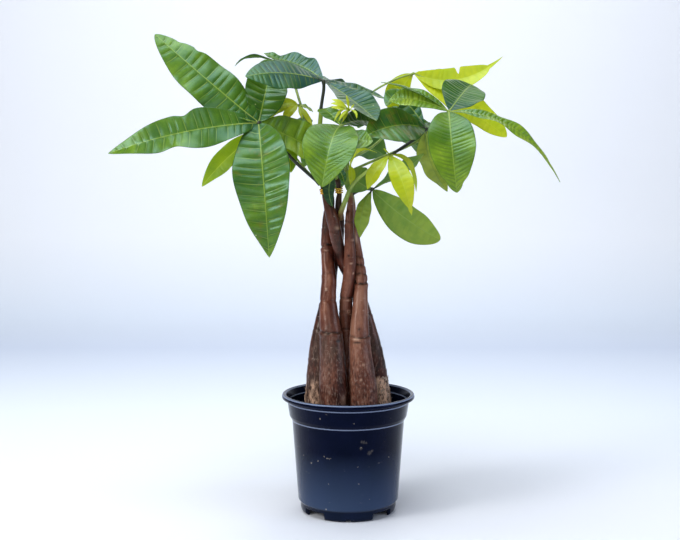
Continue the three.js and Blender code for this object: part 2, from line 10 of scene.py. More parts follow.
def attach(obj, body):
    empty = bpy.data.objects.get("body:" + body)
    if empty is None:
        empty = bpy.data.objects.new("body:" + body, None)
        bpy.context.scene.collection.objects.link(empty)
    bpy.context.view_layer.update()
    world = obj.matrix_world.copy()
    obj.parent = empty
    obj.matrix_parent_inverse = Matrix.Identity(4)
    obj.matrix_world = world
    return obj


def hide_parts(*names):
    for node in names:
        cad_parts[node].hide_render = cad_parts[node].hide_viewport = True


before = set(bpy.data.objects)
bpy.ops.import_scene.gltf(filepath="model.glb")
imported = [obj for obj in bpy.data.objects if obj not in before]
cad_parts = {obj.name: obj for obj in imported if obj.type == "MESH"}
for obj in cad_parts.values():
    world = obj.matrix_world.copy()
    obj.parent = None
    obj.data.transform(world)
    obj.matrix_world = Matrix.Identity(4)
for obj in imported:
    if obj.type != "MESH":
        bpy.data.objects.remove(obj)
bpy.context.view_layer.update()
MM = 0.001

# Nursery pot. The real one is injection-moulded polypropylene, near black, with a rolled lip, a
# deep band under it and a foot ring cut into four feet. It is one thin shell, a little glossy and
# a little dusty, turned here from its profile, with the feet's gaps and the drain holes cut out.
POT_OUTSIDE = [
    (0, 0), (12, 0), (12, 10), (54.5, 10), (54.5, 0), (56.5, 0), (58.7, 2.2), (59.5, 6), (59.5, 12),
    (62.2, 15), (69.5, 113), (70.6, 115.5), (73, 120), (75.5, 137), (76.4, 141), (81.7, 140.9),
    (82.5, 143), (81.6, 146.2), (79.5, 147), (77.4, 146.2),
]
POT_INSIDE = [(74, 137), (71.5, 120), (68, 113), (60.7, 15), (57.5, 12), (0, 12)]
POT_SECTIONS = 144
CORNER_REACH = 0.9
FOOT_RING = {"inner_radius": 50, "top": 9.9}
FOOT_GAP = {"middles": (45, 135, 225, 315), "half_angle": 15, "height": 9}
FOOT_NOTCH = {"middles": (0, 90, 180, 270), "half_angle": 3, "height": 3}
CUT_EDGE_ANGLES = (-0.15, 0.15)
DRAIN_HOLE = {"profile": [(0, 8), (4, 8), (4, 14), (0, 14)], "circle": 46, "sides": 24}
# Heights of the lip's and band's edges. Each gets a thin pale line: a painted highlight on the convex edge,
# partly rubbed wear.
RUBBED_AND_HIGHLIT_EDGES = (115.2, 137.4, 145.8)
# Dirt on the front of the wall: x, y, z and radius of each dust speck and of each patch of a scuff.
DUST_SPECKS = [
    (-33.9, -66.0, 128.0, 1.2), (6.3, -73.2, 123.6, 0.7), (-44.6, -49.1, 70.6, 1.0),
    (-36.5, -55.7, 74.8, 1.2), (-25.7, -61.9, 79.5, 1.0), (-23.3, -62.8, 79.6, 1.0),
    (-20.9, -63.7, 79.7, 0.8), (-29.3, -60.4, 81.4, 0.7), (14.6, -66.4, 93.5, 1.0),
    (11.2, -65.3, 70.0, 0.8), (11.8, -63.6, 49.0, 0.8), (48.9, -45.5, 77.0, 0.8), (-23.9, -60.0, 47.9, 0.8),
]
SCUFF_PATCHES = [
    (15.3, -66.9, 100.5, 2.0), (18.0, -66.1, 99.8, 2.2), (20.9, -65.2, 99.0, 1.7), (14.6, -66.4, 92.7, 2.4),
    (24.9, -62.7, 86.3, 3.3), (27.9, -61.7, 88.4, 2.1),
]


def linear(hex_colour):
    """The linear RGBA of an sRGB hex colour"""
    channels = [int(hex_colour[at:at + 2], 16) / 255 for at in (1, 3, 5)]
    return [c / 12.92 if c <= 0.04045 else ((c + 0.055) / 1.055) ** 2.4 for c in channels] + [1.0]


def adder(tree):
    """Makes the function that adds a node to this tree. Settings are the node's own, stops a ramp's colours.
    Inputs are values, hex colours, sockets, nodes or lists of nodes, by name or in the sockets' order."""
    def add(kind, inputs=(), stops=(), **settings):
        node = tree.nodes.new(kind if "Node" in kind else "ShaderNode" + kind)
        for name, value in settings.items():
            setattr(node, name, value)
        for name, values in inputs.items() if isinstance(inputs, dict) else enumerate(inputs):
            for value in values if isinstance(values, list) else [values]:
                if isinstance(value, bpy.types.Node):
                    value = next(socket for socket in value.outputs if socket.enabled)
                if isinstance(value, bpy.types.NodeSocket):
                    tree.links.new(value, node.inputs[name])
                else:
                    node.inputs[name].default_value = linear(value) if isinstance(value, str) else value
        for number, (position, colour) in enumerate(stops):
            ramp = node.color_ramp.elements
            stop = ramp[number] if number < len(ramp) else ramp.new(position)
            stop.position, stop.color = position, linear(colour)
        return node

    return add


def new_material(name):
    """An empty node material, the function that adds nodes to it, and its Object coordinates"""
    material = bpy.data.materials.new(name)
    material.use_nodes = True
    material.node_tree.nodes.clear()
    add = adder(material.node_tree)
    return material, add, add("TexCoord").outputs["Object"]


def black_polypropylene():
    # Carbon-black polypropylene from a lightly textured mould: a soft bluish sheen, pale dust specks and
    # smudges, painted highlights along its rubbed edges and a painted pale-blue reflection of the floor
    # toward the foot. The mould's grain is made coarser here.
    material, add, place = new_material("black_polypropylene")
    height = add("SeparateXYZ", [place]).outputs["Z"]
    cloud = add("TexNoise", {"Vector": place, "Scale": 28, "Detail": 4})
    colour = add("ValToRGB", [cloud], stops=[(0.3, "#020411"), (0.75, "#060a20")])
    cell = add("TexVoronoi", {"Vector": place, "Scale": 75}, feature="F1")
    pick = add("SeparateColor", [cell.outputs["Color"]])
    rare = add("Math", [pick.outputs["Red"], 0.86], operation="GREATER_THAN")
    near = add("MapRange", [cell, 0.04, 0.09, 0.85, 0.0])
    speck = add("Math", [rare, near], operation="MULTIPLY")
    stretched = add("Mapping", {"Vector": place, "Scale": (1, 1, 2.2)})
    smear = add("TexNoise", {"Vector": stretched, "Scale": 60, "Detail": 5, "Roughness": 0.7})
    layers = [(speck, "#b5aa98"), (add("MapRange", [smear, 0.66, 0.76, 0.0, 0.4]), "#8d8478")]
    uneven = add("TexNoise", {"Vector": place, "Scale": 600, "Detail": 2})
    shift = add("VectorMath", [uneven.outputs["Color"], (0.5, 0.5, 0.5)], operation="SUBTRACT")
    ragged = add("VectorMath", [shift, (0.003, 0.003, 0.003), place], operation="MULTIPLY_ADD")
    for marks, strength in ((DUST_SPECKS, 0.5), (SCUFF_PATCHES, 0.1)):
        nearest = 9.0
        for x, y, z, radius in marks:
            away = add("VectorMath", [ragged, (x * MM, y * MM, z * MM)], operation="DISTANCE")
            share = add("Math", [away, radius * MM], operation="DIVIDE")
            nearest = add("Math", [share, nearest], operation="MINIMUM")
        layers.append((add("MapRange", [nearest, 0.5, 1.0, strength, 0.0]), "#b5aa98"))
    # Painted reflection: toward the foot the black is mixed with pale blue, standing in for the floor's
    # reflection.
    low = add("MapRange", [height, 0.012, 0.085, 0.25, 0.0])
    above_foot = add("MapRange", [height, 0.0125, 0.0155, 0.15, 1.0])
    layers.append((add("Math", [low, above_foot], operation="MULTIPLY"), "#6c86b0"))
    # Painted highlight: a thin pale blue-grey line along each edge, partly rubbed wear.
    for edge in RUBBED_AND_HIGHLIT_EDGES:
        on_edge = add("Math", [height, edge * MM, 0.0007], operation="COMPARE")
        layers.append((add("Math", [on_edge, 0.55], operation="MULTIPLY"), "#9aa8c6"))
    for mask, tint in layers:
        colour = add("Mix", {0: mask, 6: colour, 7: tint}, data_type="RGBA")
    rough = add("MapRange", [cloud, 0.3, 0.7, 0.15, 0.22])
    grain = add("TexNoise", {"Vector": place, "Scale": 900, "Detail": 2})
    bump = add("Bump", {"Height": grain, "Strength": 0.12, "Distance": 0.0004})
    shader = add("BsdfPrincipled", {"Base Color": colour, "Roughness": rough, "Normal": bump,
                                    "Specular IOR Level": 0.14, "Specular Tint": "#8aa4ee"})
    add("OutputMaterial", [shader])
    return material


def rounded(profile, reach, steps=3):
    """A profile with each corner turned into a short curve that starts up to reach before it"""
    points = [np.array(point, float) for point in profile]
    curve = [points[0]]
    for before, corner, after in zip(points, points[1:], points[2:]):
        start = corner + (before - corner) * min(0.45, reach / np.linalg.norm(before - corner))
        end = corner + (after - corner) * min(0.45, reach / np.linalg.norm(after - corner))
        for t in np.arange(steps + 1) / steps:
            curve.append((1 - t) ** 2 * start + 2 * t * (1 - t) * corner + t ** 2 * end)
    return curve + [points[-1]]


def new_piece(name, points, faces, materials):
    """A smooth mesh object from points in millimetres, with every face in the first material"""
    mesh = bpy.data.meshes.new(name)
    mesh.from_pydata(np.asarray(points, float) * MM, [], faces)
    mesh.validate()
    for material in materials:
        mesh.materials.append(material)
    mesh.polygons.foreach_set("use_smooth", [True] * len(mesh.polygons))
    piece = bpy.data.objects.new(name, mesh)
    bpy.context.scene.collection.objects.link(piece)
    return piece


def turned(profile, angles, cut=lambda angle, radius, height: height):
    """Points and faces of a closed body turned about the axis from its lower to its upper middle"""
    rows = profile[1:-1]
    points = [(0, 0, profile[0][1])]
    points += [(radius * math.cos(angle), radius * math.sin(angle), cut(angle, radius, height))
               for angle in angles for radius, height in rows]
    points.append((0, 0, profile[-1][1]))
    faces = []
    count = len(rows)
    for section in range(len(angles)):
        here = 1 + section * count
        there = 1 + (section + 1) % len(angles) * count
        faces.append((0, there, here))
        faces.extend((here + at, there + at, there + at + 1, here + at + 1) for at in range(count - 1))
        faces.append((here + count - 1, there + count - 1, len(points) - 1))
    return points, faces


def foot_cut(angle, radius, height):
    """A profile point's height at an angle, raised where the foot ring has a gap or a notch"""
    if radius > FOOT_RING["inner_radius"] and height < FOOT_RING["top"]:
        for cut in (FOOT_GAP, FOOT_NOTCH):
            for middle in cut["middles"]:
                if abs((math.degrees(angle) - middle + 180) % 360 - 180) < cut["half_angle"]:
                    return max(height, cut["height"])
    return height


cut_edges = [middle + side * (cut["half_angle"] + beside) for cut in (FOOT_GAP, FOOT_NOTCH)
             for middle in cut["middles"] for side in (-1, 1) for beside in CUT_EDGE_ANGLES]
even_angles = [360 * section / POT_SECTIONS for section in range(POT_SECTIONS)]
pot_angles = sorted({math.radians(angle % 360) for angle in even_angles + cut_edges})
pot_profile = rounded(POT_OUTSIDE + POT_INSIDE, CORNER_REACH)
pot = new_piece("nursery_pot", *turned(pot_profile, pot_angles, foot_cut), [black_polypropylene()])
drill_angles = [2 * math.pi * step / DRAIN_HOLE["sides"] for step in range(DRAIN_HOLE["sides"])]
for middle in FOOT_GAP["middles"]:
    x, y = (DRAIN_HOLE["circle"] * part(math.radians(middle)) for part in (math.cos, math.sin))
    drill = new_piece("drill", *turned(DRAIN_HOLE["profile"], drill_angles), [])
    drill.data.transform(Matrix.Translation((x * MM, y * MM, 0)))
    hole = pot.modifiers.new("drain", "BOOLEAN")
    hole.object = drill
    hole.operation = "DIFFERENCE"
    bpy.context.view_layer.objects.active = pot
    bpy.ops.object.modifier_apply(modifier=hole.name)
    bpy.data.objects.remove(drill)
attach(pot, "root")
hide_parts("pot")

# Potting soil: composted bark and peat, dark and crumbly, filled to about 20 mm under the lip and
# heaped a little round the trunks. The body has an uneven top, and loose crumbs lie on it.
SOIL_RADIUS = 71.6
SOIL_TOP_HEIGHT = 124
SOIL_TOP_FROM = 123.5
SOIL_SIDE = [(0, 12.4), (57, 12.4), (60.3, 16), (67.5, 113), (70.9, 121), (SOIL_RADIUS, SOIL_TOP_HEIGHT)]
SOIL_MOUND = {"radius": 71, "height": 4}
SOIL_CLODS = [{"per_millimetre": 0.09, "height": 1.6, "layer": 4},
              {"per_millimetre": 0.3, "height": 0.8, "layer": 9}]
SOIL_RINGS = 26
SOIL_SECTIONS = 96
SOIL_CRUMBS = {"per_square_metre": 190000, "largest": 2.4, "seed": 11}


def potting_mix():
    # Peat and composted bark: dark brown, damp, quite matte, with paler fibres a few millimetres long.
    material, add, place = new_material("potting_mix")
    clump = add("TexNoise", {"Vector": place, "Scale": 260, "Detail": 6, "Roughness": 0.65})
    colour = add("ValToRGB", [clump],
                 stops=[(0.3, "#150e09"), (0.5, "#2c1e14"), (0.66, "#4a3423"), (0.8, "#7a5c3e")])
    bump = add("Bump", {"Height": clump, "Strength": 0.8, "Distance": 0.0012})
    shader = add("BsdfPrincipled", {"Base Color": colour, "Roughness": 0.92, "Normal": bump})
    add("OutputMaterial", [shader])
    return material


def new_tree(name, inputs):
    """A Geometry Nodes tree with named inputs, the function that adds nodes to it, and the inputs' sockets"""
    tree = bpy.data.node_groups.new(name, "GeometryNodeTree")
    tree.interface.new_socket("Geometry", in_out="OUTPUT", socket_type="NodeSocketGeometry")
    for label, kind in inputs.items():
        tree.interface.new_socket(label, in_out="INPUT", socket_type="NodeSocket" + kind)
    add = adder(tree)
    return tree, add, add("NodeGroupInput").outputs


def grow(carrier, tree, values):
    """Gives an object a Geometry Nodes tree with its input values, and makes the result its plain mesh"""
    modifier = carrier.modifiers.new(tree.name, "NODES")
    modifier.node_group = tree
    for item in tree.interface.items_tree:
        if item.in_out == "INPUT" and item.name in values:
            modifier[item.identifier] = values[item.name]
    graph = bpy.context.evaluated_depsgraph_get()
    mesh = bpy.data.meshes.new_from_object(carrier.evaluated_get(graph))
    carrier.modifiers.clear()
    carrier.data = mesh
    return carrier


def crumb_tree():
    """Crumbs: small uneven grains set at random on a surface"""
    tree, add, given = new_tree("soil_crumbs", {
        "Geometry": "Geometry", "Density": "Float", "Largest": "Float", "Seed": "Int",
        "Material": "Material"})
    spots = add("GeometryNodeDistributePointsOnFaces", {
        "Mesh": given["Geometry"], "Density": given["Density"], "Seed": given["Seed"]})
    grain = add("GeometryNodeMeshIcoSphere", {"Radius": 0.5, "Subdivisions": 1})
    turn, size = (
        add("FunctionNodeRandomValue", {0: least, 1: most, "Seed": seed}, data_type="FLOAT_VECTOR")
        for least, most, seed in (((0, 0, 0), (6.28, 6.28, 6.28), 3), ((0.25, 0.2, 0.15), (1, 0.7, 0.5), 5)))
    real = add("VectorMath", {0: size, "Scale": given["Largest"]}, operation="SCALE")
    grains = add("GeometryNodeInstanceOnPoints", {
        "Points": spots, "Instance": grain, "Rotation": turn, "Scale": real})
    solid = add("GeometryNodeRealizeInstances", [grains])
    dressed = add("GeometryNodeSetMaterial", {"Geometry": solid, "Material": given["Material"]})
    add("NodeGroupOutput", [dressed])
    return tree


def soil_height(x, y):
    """The soil's top at a place, in millimetres: a low mound with clods on it"""
    middle = max(0.0, 1 - math.hypot(x, y) / SOIL_MOUND["radius"])
    clods = sum(noise.noise(Vector((x * clod["per_millimetre"], y * clod["per_millimetre"], clod["layer"])))
                * clod["height"] for clod in SOIL_CLODS)
    return SOIL_TOP_HEIGHT + SOIL_MOUND["height"] * middle ** 0.6 + clods * min(1.0, middle * 5)


mix = potting_mix()
soil_profile = SOIL_SIDE + [(SOIL_RADIUS * (1 - ring / SOIL_RINGS), SOIL_TOP_HEIGHT)
                            for ring in range(1, SOIL_RINGS + 1)]
soil_points, soil_faces = turned(soil_profile, [2 * math.pi * step / SOIL_SECTIONS
                                                for step in range(SOIL_SECTIONS)])
soil_points = [(x, y, soil_height(x, y) if z > SOIL_TOP_FROM else z) for x, y, z in soil_points]
soil = new_piece("soil_body", soil_points, soil_faces, [mix])
top_faces = [face for face in soil_faces if all(soil_points[at][2] > SOIL_TOP_FROM for at in face)]
crumbs = grow(new_piece("soil_crumbs", soil_points, top_faces, [mix]), crumb_tree(), {
    "Density": float(SOIL_CRUMBS["per_square_metre"]), "Largest": SOIL_CRUMBS["largest"] * MM,
    "Seed": SOIL_CRUMBS["seed"], "Material": mix})
for piece in (soil, crumbs):
    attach(piece, "root")
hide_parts("soil")

# Trunks: five young Pachira stems braided while green and since grown woody. Each stands in the soil,
# tapers to half height, crosses its neighbours and ends in a green shoot. The bark is thin and
# reddish brown, fissured and peeling at the foot, with a dark ring wherever a leaf has dropped.
TRUNK_SIDES = 52
TRUNK_STEP = 1.1
ROUGH_BARK = {"top": 235, "fade": 110}
PEELED_FOOT = {"top": 186, "fade": 30}
SHOOT_FADE = 14
FLUTE = {"across": 0.07, "along": 0.014, "depth": 0.075}
FIBRE = {"across": 0.4, "along": 0.05, "smooth_depth": 0.12, "added_depth": 0.5}
LUMP = {"per_millimetre": 0.11, "depth": 0.035}
RING_SCAR = {"groove": 1.4, "swelling": 3.2, "swelling_below": 3, "deepest": 1.1, "wander": 1.5}
BUD_HEIGHT = 0.9
SCAR_DEPTH = 0.5
# Stations are x, y, z and radius. Rings are height, strength and how far they dip at the front. Marks are
# scars, buds and painted highlights: height, facing in degrees, half width, half height, and how pale, or
# below 0 how dark.
TRUNKS = {
    "trunk_left_front": {
        "stations": [(-15, -17, 72, 13), (-17, -17, 118, 17.6), (-18.5, -15, 160, 17), (-20.6, -10, 212, 15),
            (-25, -2, 262, 9.8), (-23.5, 1.5, 287, 9.3), (-25.5, 8.5, 312, 7.8), (-26.5, 13, 336, 7.4),
            (-25, 12, 361, 7), (-22.5, 11, 386, 5.5), (-24, 11, 402, 4), (-32, 9, 432, 3), (-35, 5, 468, 2.8),
            (-33, 2, 497, 2.6)],
        "rings": [(327, 1.4, 4), (226, 1.0, -2), (262, 0.35, 1), (295, 0.3, 1), (352, 0.5, 1), (374, 0.4, 0)],
        # The pale marks at 323.5 and 223.4 are painted highlights on the lower lips of two ring scars.
        "marks": [(277, -108, 1.6, 1.4, 0.9), (214.5, -55, 5, 1.8, -1), (323.5, -100, 3.5, 1, 0.4),
            (143, -45, 4.5, 7, 0.3), (223.4, -105, 5, 0.9, 0.4)],
        "shoot_from": 392, "peeling": 0.15, "shade": -0.03,
    },
    "trunk_right_front": {
        "stations": [(18, -17, 72, 14), (20, -18, 118, 18.2), (17.5, -14, 165, 16.3), (14, -9, 212, 13),
            (15, -2, 262, 9), (16, 2, 287, 7.4), (13, 9, 312, 6.3), (9.5, 10, 336, 5.3), (6, 13, 361, 4.8),
            (4, 15, 386, 4.2), (0, 18, 412, 3.2), (-2, 24, 438, 3), (-4, 30, 462, 2.8)],
        "rings": [(284.5, 1.2, -1), (294, 0.9, 1), (221, 0.8, -3), (305, 0.8, 1), (315, 0.6, 1),
            (352, 0.5, 1)],
        "marks": [(216.5, -108, 5, 1.6, 1), (212.4, -104, 5.5, 1.1, -1), (228.5, -92, 1.6, 1.5, -0.9),
            (338, -90, 1.8, 6, 0.8), (186, -80, 1.3, 1.8, 0.7), (168, -98, 1.2, 1.6, 0.7)],
        "shoot_from": 380, "peeling": 0.45, "shade": 0.1,
    },
    "trunk_back": {
        "stations": [(1, 26, 72, 12), (1, 25, 118, 15), (-1, 20, 165, 13), (-2, 14, 212, 10),
            (-3, 7, 262, 7.7), (0.3, 0.5, 287, 7.8), (2, -3, 312, 7.6), (1.5, -4, 336, 6),
            (1.2, -3, 361, 5.3), (2.7, -2, 386, 3.6), (2, 0, 404, 3), (-4, 2, 430, 2.9), (-8, -2, 450, 2.8),
            (-9, -8, 464, 2.5)],
        "rings": [(264, 0.6, 1), (248, 0.3, 0), (226, 0.5, 0), (358, 0.7, 1), (372, 0.6, 0)],
        "marks": [(318, -104, 1.8, 1.7, -0.9), (308.5, -78, 2, 1, 0.8), (296, -50, 1.6, 1.2, 0.8),
            (262, -68, 3.2, 1, 0.7), (248, -62, 2.6, 2.2, 0.7), (248, -62, 1.2, 1, -1),
            (337, -50, 2.4, 1.6, 0.4)],
        "shoot_from": 388, "peeling": 0.2, "shade": 0.04,
    },
    "trunk_right_back": {
        "stations": [(38, 15, 72, 13), (40, 15, 118, 15.6), (37, 14, 165, 13), (28.5, 12, 212, 10.5),
            (14, 18, 262, 9), (4, 19.5, 287, 8.2), (-7.5, 11, 312, 7.6), (-14, -1, 336, 7.7),
            (-19, -5, 361, 7.8), (-23.5, -6, 376, 6.4), (-28, -6.3, 387, 3.6), (-30.5, -6.5, 393, 1.8),
            (-32, -6.7, 400, 1.7), (-34, -7, 408, 2)],
        "rings": [(176, 0.5, 2), (204, 0.4, 0), (245, 0.5, 1), (331, 0.3, 1), (349, 0.35, -1)],
        "marks": [(352, -60, 3.4, 2.6, 0.4)],
        "shoot_from": 400, "peeling": 1.1, "shade": -0.1,
    },
    "trunk_left_back": {
        "stations": [(-37, 13, 72, 13), (-39, 12, 118, 15.6), (-38, 11, 165, 14), (-35, 13, 212, 11),
            (-26, 17.5, 262, 8.4), (-22, 20, 287, 7.9), (-18, 22.5, 312, 6.8), (-12, 18, 336, 6.4),
            (-10.5, 6.5, 361, 5.6), (-12, 3, 384, 3.8), (-11, 2, 393, 2.9), (-12, 1, 403, 2.9),
            (-13, 0, 409, 3.4), (-13.5, 0, 414, 2)],
        "rings": [(258, 1.0, 2), (225, 0.4, 0), (190, 0.4, 0), (350, 0.5, 0), (366, 0.4, 1), (382, 0.5, 0)],
        "marks": [(367, -40, 3, 2.6, 0.3)],
        "shoot_from": 430, "peeling": 0.75, "shade": -0.15,
    },
}


def pachira_bark():
    # Thin bark of a young trunk: reddish brown with grey weathered patches and a slight sheen. Low down
    # it is stippled with short upright cracks and peels to tan; above the braid it is a green shoot.
    # The shade layer is each trunk's own tone, a little darker toward the foot, with painted shade on the
    # side facing right.
    material, add, place = new_material("pachira_bark")
    upright = add("Mapping", {"Vector": place, "Scale": (1, 1, 0.36)})
    flat = add("Mapping", {"Vector": place, "Scale": (1, 1, 3.5)})
    shade, rough, peel, pale_mark_and_highlight, ring, shoot = (
        add("Attribute", attribute_name=label).outputs["Fac"]
        for label in ("shade", "rough", "peel", "pale_mark_and_highlight", "ring", "shoot"))
    patch = add("TexNoise", {"Vector": upright, "Scale": 60, "Detail": 6, "Roughness": 0.68})
    toned = add("Math", [patch, shade], operation="ADD")
    colour = add("ValToRGB", [toned],
                 stops=[(0.3, "#200b08"), (0.42, "#4a1e14"), (0.56, "#6e3d2c"), (0.7, "#91624d")])
    cover = add("TexNoise", {"Vector": upright, "Scale": 26, "Detail": 4})
    greying = add("Math", [rough, 0.42, 0.15], operation="MULTIPLY_ADD")
    weather = add("MapRange", [cover, 0.4, 0.58, 0.0, greying])
    wear = add("TexNoise", {"Vector": upright, "Scale": 150, "Detail": 5, "Roughness": 0.7})
    flake = add("Math", [wear, peel], operation="MULTIPLY")
    loose = add("MapRange", [flake, 0.34, 0.46])
    fibre = add("TexNoise", {"Vector": upright, "Scale": 520, "Detail": 3})
    cracking = add("Math", [rough, 0.87, 0.08], operation="MULTIPLY_ADD")
    crack = add("MapRange", [fibre, 0.47, 0.37, 0.0, cracking])
    paleness = add("Math", [cracking, 0.6], operation="MULTIPLY")
    ridge = add("MapRange", [fibre, 0.54, 0.66, 0.0, paleness])
    dash = add("TexNoise", {"Vector": flat, "Scale": 130, "Detail": 2})
    spare = add("Math", [rough, -0.4, 0.45], operation="MULTIPLY_ADD")
    pale = add("MapRange", [dash, 0.68, 0.75, 0.0, spare])
    green = add("ValToRGB", [patch], stops=[(0.35, "#748a34"), (0.6, "#9ab346")])
    # The pale-mark layer colours the buds pale, and also two painted highlights under ring scars.
    for mask, tint in ((weather, "#7c5f50"), (loose, "#d8b094"), (crack, "#261411"), (ridge, "#a08a7c"),
                       (pale, "#b39a8a"), (pale_mark_and_highlight, "#c09a82"), (ring, "#150a07"), (shoot, green)):
        colour = add("Mix", {0: mask, 6: colour, 7: tint}, data_type="RGBA")
    depth = add("Math", [fibre, cracking], operation="MULTIPLY")
    bump = add("Bump", {"Height": depth, "Strength": 0.6, "Distance": 0.0012})
    dryness = add("Math", [rough, 0.16, 0.32], operation="MULTIPLY_ADD")
    shader = add("BsdfPrincipled", {"Base Color": colour, "Roughness": dryness, "Normal": bump,
                                    "Specular IOR Level": 0.36, "Specular Tint": "#ffe9dc"})
    add("OutputMaterial", [shader])
    return material


def unit(rows):
    """Vectors, each made one unit long"""
    return rows / np.linalg.norm(rows, axis=-1, keepdims=True)


def smooth_path(stations, step_length):
    """A centripetal Catmull-Rom curve through stations of x, y, z and radius: points, radii and tangents"""
    given = [np.array(station, float) for station in stations]
    given = [2 * given[0] - given[1]] + given + [2 * given[-1] - given[-2]]
    rows = []
    for before, start, end, after in zip(given, given[1:], given[2:], given[3:]):
        pairs = ((before, start), (start, end), (end, after))
        spans = [max(np.linalg.norm((b - a)[:3]), 1e-6) ** 0.5 for a, b in pairs]
        chord = (end - start) / spans[1]
        leave = (start - before) / spans[0] - (end - before) / (spans[0] + spans[1]) + chord
        arrive = chord - (after - start) / (spans[1] + spans[2]) + (after - end) / spans[2]
        leave, arrive = leave * spans[1], arrive * spans[1]
        steps = max(1, round(np.linalg.norm((end - start)[:3]) / step_length))
        for t in np.arange(steps) / steps:
            point = start + leave * t + (3 * (end - start) - 2 * leave - arrive) * t ** 2
            point = point + (2 * (start - end) + leave + arrive) * t ** 3
            point[3] = start[3] + (end[3] - start[3]) * t
            rows.append(point)
    rows = np.array(rows + [given[-2]])
    return rows[:, :3], rows[:, 3], unit(np.gradient(rows[:, :3], axis=0))


def mark_points(piece, layers):
    """Gives each point of a piece its value in each of the named layers"""
    for label, values in layers.items():
        layer = piece.data.attributes.new(label, "FLOAT", "POINT")
        layer.data.foreach_set("value", values)


def clamped(value):
    """A value kept between 0 and 1"""
    return min(1.0, max(0.0, value))


def streaks(place, size):
    """Noise at a place, drawn out along the stem"""
    return noise.noise(Vector((place.x * size["across"], place.y * size["across"], place.z * size["along"])))


def ring_scars(plan, place, facing, radius):
    """How far a trunk's ring scars push its bark out at a place, and how dark they make it"""
    push = dark = 0.0
    for height, strength, dip in plan["rings"]:
        off = place.z - height - dip * math.cos(facing + math.pi / 2)
        off += noise.noise(Vector((place.x * 0.2, place.y * 0.2, height))) * RING_SCAR["wander"]
        groove = math.exp(-(off / RING_SCAR["groove"]) ** 2) * strength
        swelling = math.exp(-((off + RING_SCAR["swelling_below"]) / RING_SCAR["swelling"]) ** 2) * strength
        push += 0.07 * radius * swelling - min(RING_SCAR["deepest"], 0.12 * radius) * groove
        dark = max(dark, groove * (0.75 + 1.1 * noise.noise(place * 0.22)))
    return push, dark


def trunk_piece(name, plan, material):
    """One trunk: rings round its path, pushed in and out by flutes, fibres, ring scars and buds"""
    centres, radii, tangents = smooth_path(plan["stations"], TRUNK_STEP)
    points, bark_values = [], []
    across = np.array([1.0, 0, 0])
    for centre, radius, tangent in zip(centres, radii, tangents):
        across = unit(across - tangent * across.dot(tangent))
        upright = np.cross(tangent, across)
        for side in range(TRUNK_SIDES):
            angle = 2 * math.pi * side / TRUNK_SIDES
            outward = across * math.cos(angle) + upright * math.sin(angle)
            place = Vector(centre + outward * radius)
            facing = math.atan2(outward[1], outward[0])
            rough = clamped((ROUGH_BARK["top"] - place.z) / ROUGH_BARK["fade"])
            flute = streaks(place, FLUTE) * FLUTE["depth"] * radius
            fibre = streaks(place, FIBRE) * (FIBRE["smooth_depth"] + FIBRE["added_depth"] * rough)
            lump = noise.noise(place * LUMP["per_millimetre"]) * LUMP["depth"] * radius
            push, dark = ring_scars(plan, place, facing, radius)
            push += flute + fibre + lump
            pale = 0.0
            for height, azimuth, width, tall, paleness in plan["marks"]:
                aside = (facing - math.radians(azimuth) + math.pi) % (2 * math.pi) - math.pi
                shape = math.exp(-((aside * radius / width) ** 2 + ((place.z - height) / tall) ** 2) * 1.4)
                push += BUD_HEIGHT * shape if paleness > 0 else -SCAR_DEPTH * shape
                pale = max(pale, min(1.0, 1.3 * shape) * paleness)
                dark = max(dark, -min(1.0, 1.3 * shape) * paleness)
            points.append(centre + outward * (radius + push))
            peeled = clamped((PEELED_FOOT["top"] - place.z) / PEELED_FOOT["fade"])
            # Painted shade: the side facing right, away from the window light, is made darker. The foot is a
            # little darker too.
            bark_values.append({
                "ring": min(1.0, dark), "pale_mark_and_highlight": pale, "rough": rough, "peel": plan["peeling"] * peeled,
                "shoot": clamped((place.z - plan["shoot_from"]) / SHOOT_FADE),
                "shade": plan["shade"] - 0.05 * rough - 0.08 * max(0.0, outward[0])})
    last = (len(centres) - 1) * TRUNK_SIDES
    faces = []
    for row in range(0, last, TRUNK_SIDES):
        for side in range(TRUNK_SIDES):
            beside = (side + 1) % TRUNK_SIDES
            faces.append((row + side, row + beside, row + TRUNK_SIDES + beside, row + TRUNK_SIDES + side))
    faces.append(tuple(reversed(range(TRUNK_SIDES))))
    faces.extend((last + side, last + (side + 1) % TRUNK_SIDES, len(points)) for side in range(TRUNK_SIDES))
    points.append(centres[-1] + tangents[-1] * 0.8 * radii[-1])
    bark_values.append(bark_values[-1])
    piece = new_piece(name + "_bark", points, faces, [material])
    mark_points(piece, {label: [values[label] for values in bark_values] for label in bark_values[0]})
    return piece


bark = pachira_bark()
for name, plan in TRUNKS.items():
    trunk = trunk_piece(name, plan, bark)
    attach(trunk, "root")
    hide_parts(name)

# Peeling bark: where the two outer trunks meet the soil, thin straw-coloured curls stand off them.
# Each is a strip of dry outer bark a few millimetres long, still held along one end.
PEELING = {
    "trunk_right_back": {"lowest": 126, "highest": 168, "count_per_square_metre": 42000, "seed": 4},
    "trunk_left_back": {"lowest": 126, "highest": 150, "count_per_square_metre": 16000, "seed": 7},
}
CURL = {"Length": 7.0 * MM, "Width": 1.7 * MM, "Lift": 1.0 * MM}
CURL_THICKNESS = 0.3


def dry_bark():
    # Dead outer bark: papery, straw to grey-brown, quite matte, streaked along its length.
    material, add, place = new_material("dry_bark")
    streak = add("TexNoise", {"Vector": place, "Scale": 320, "Detail": 4})
    colour = add("ValToRGB", [streak], stops=[(0.35, "#5e4438"), (0.52, "#a48b78"), (0.7, "#cdbba8")])
    add("OutputMaterial", [add("BsdfPrincipled", {"Base Color": colour, "Roughness": 0.85})])
    return material


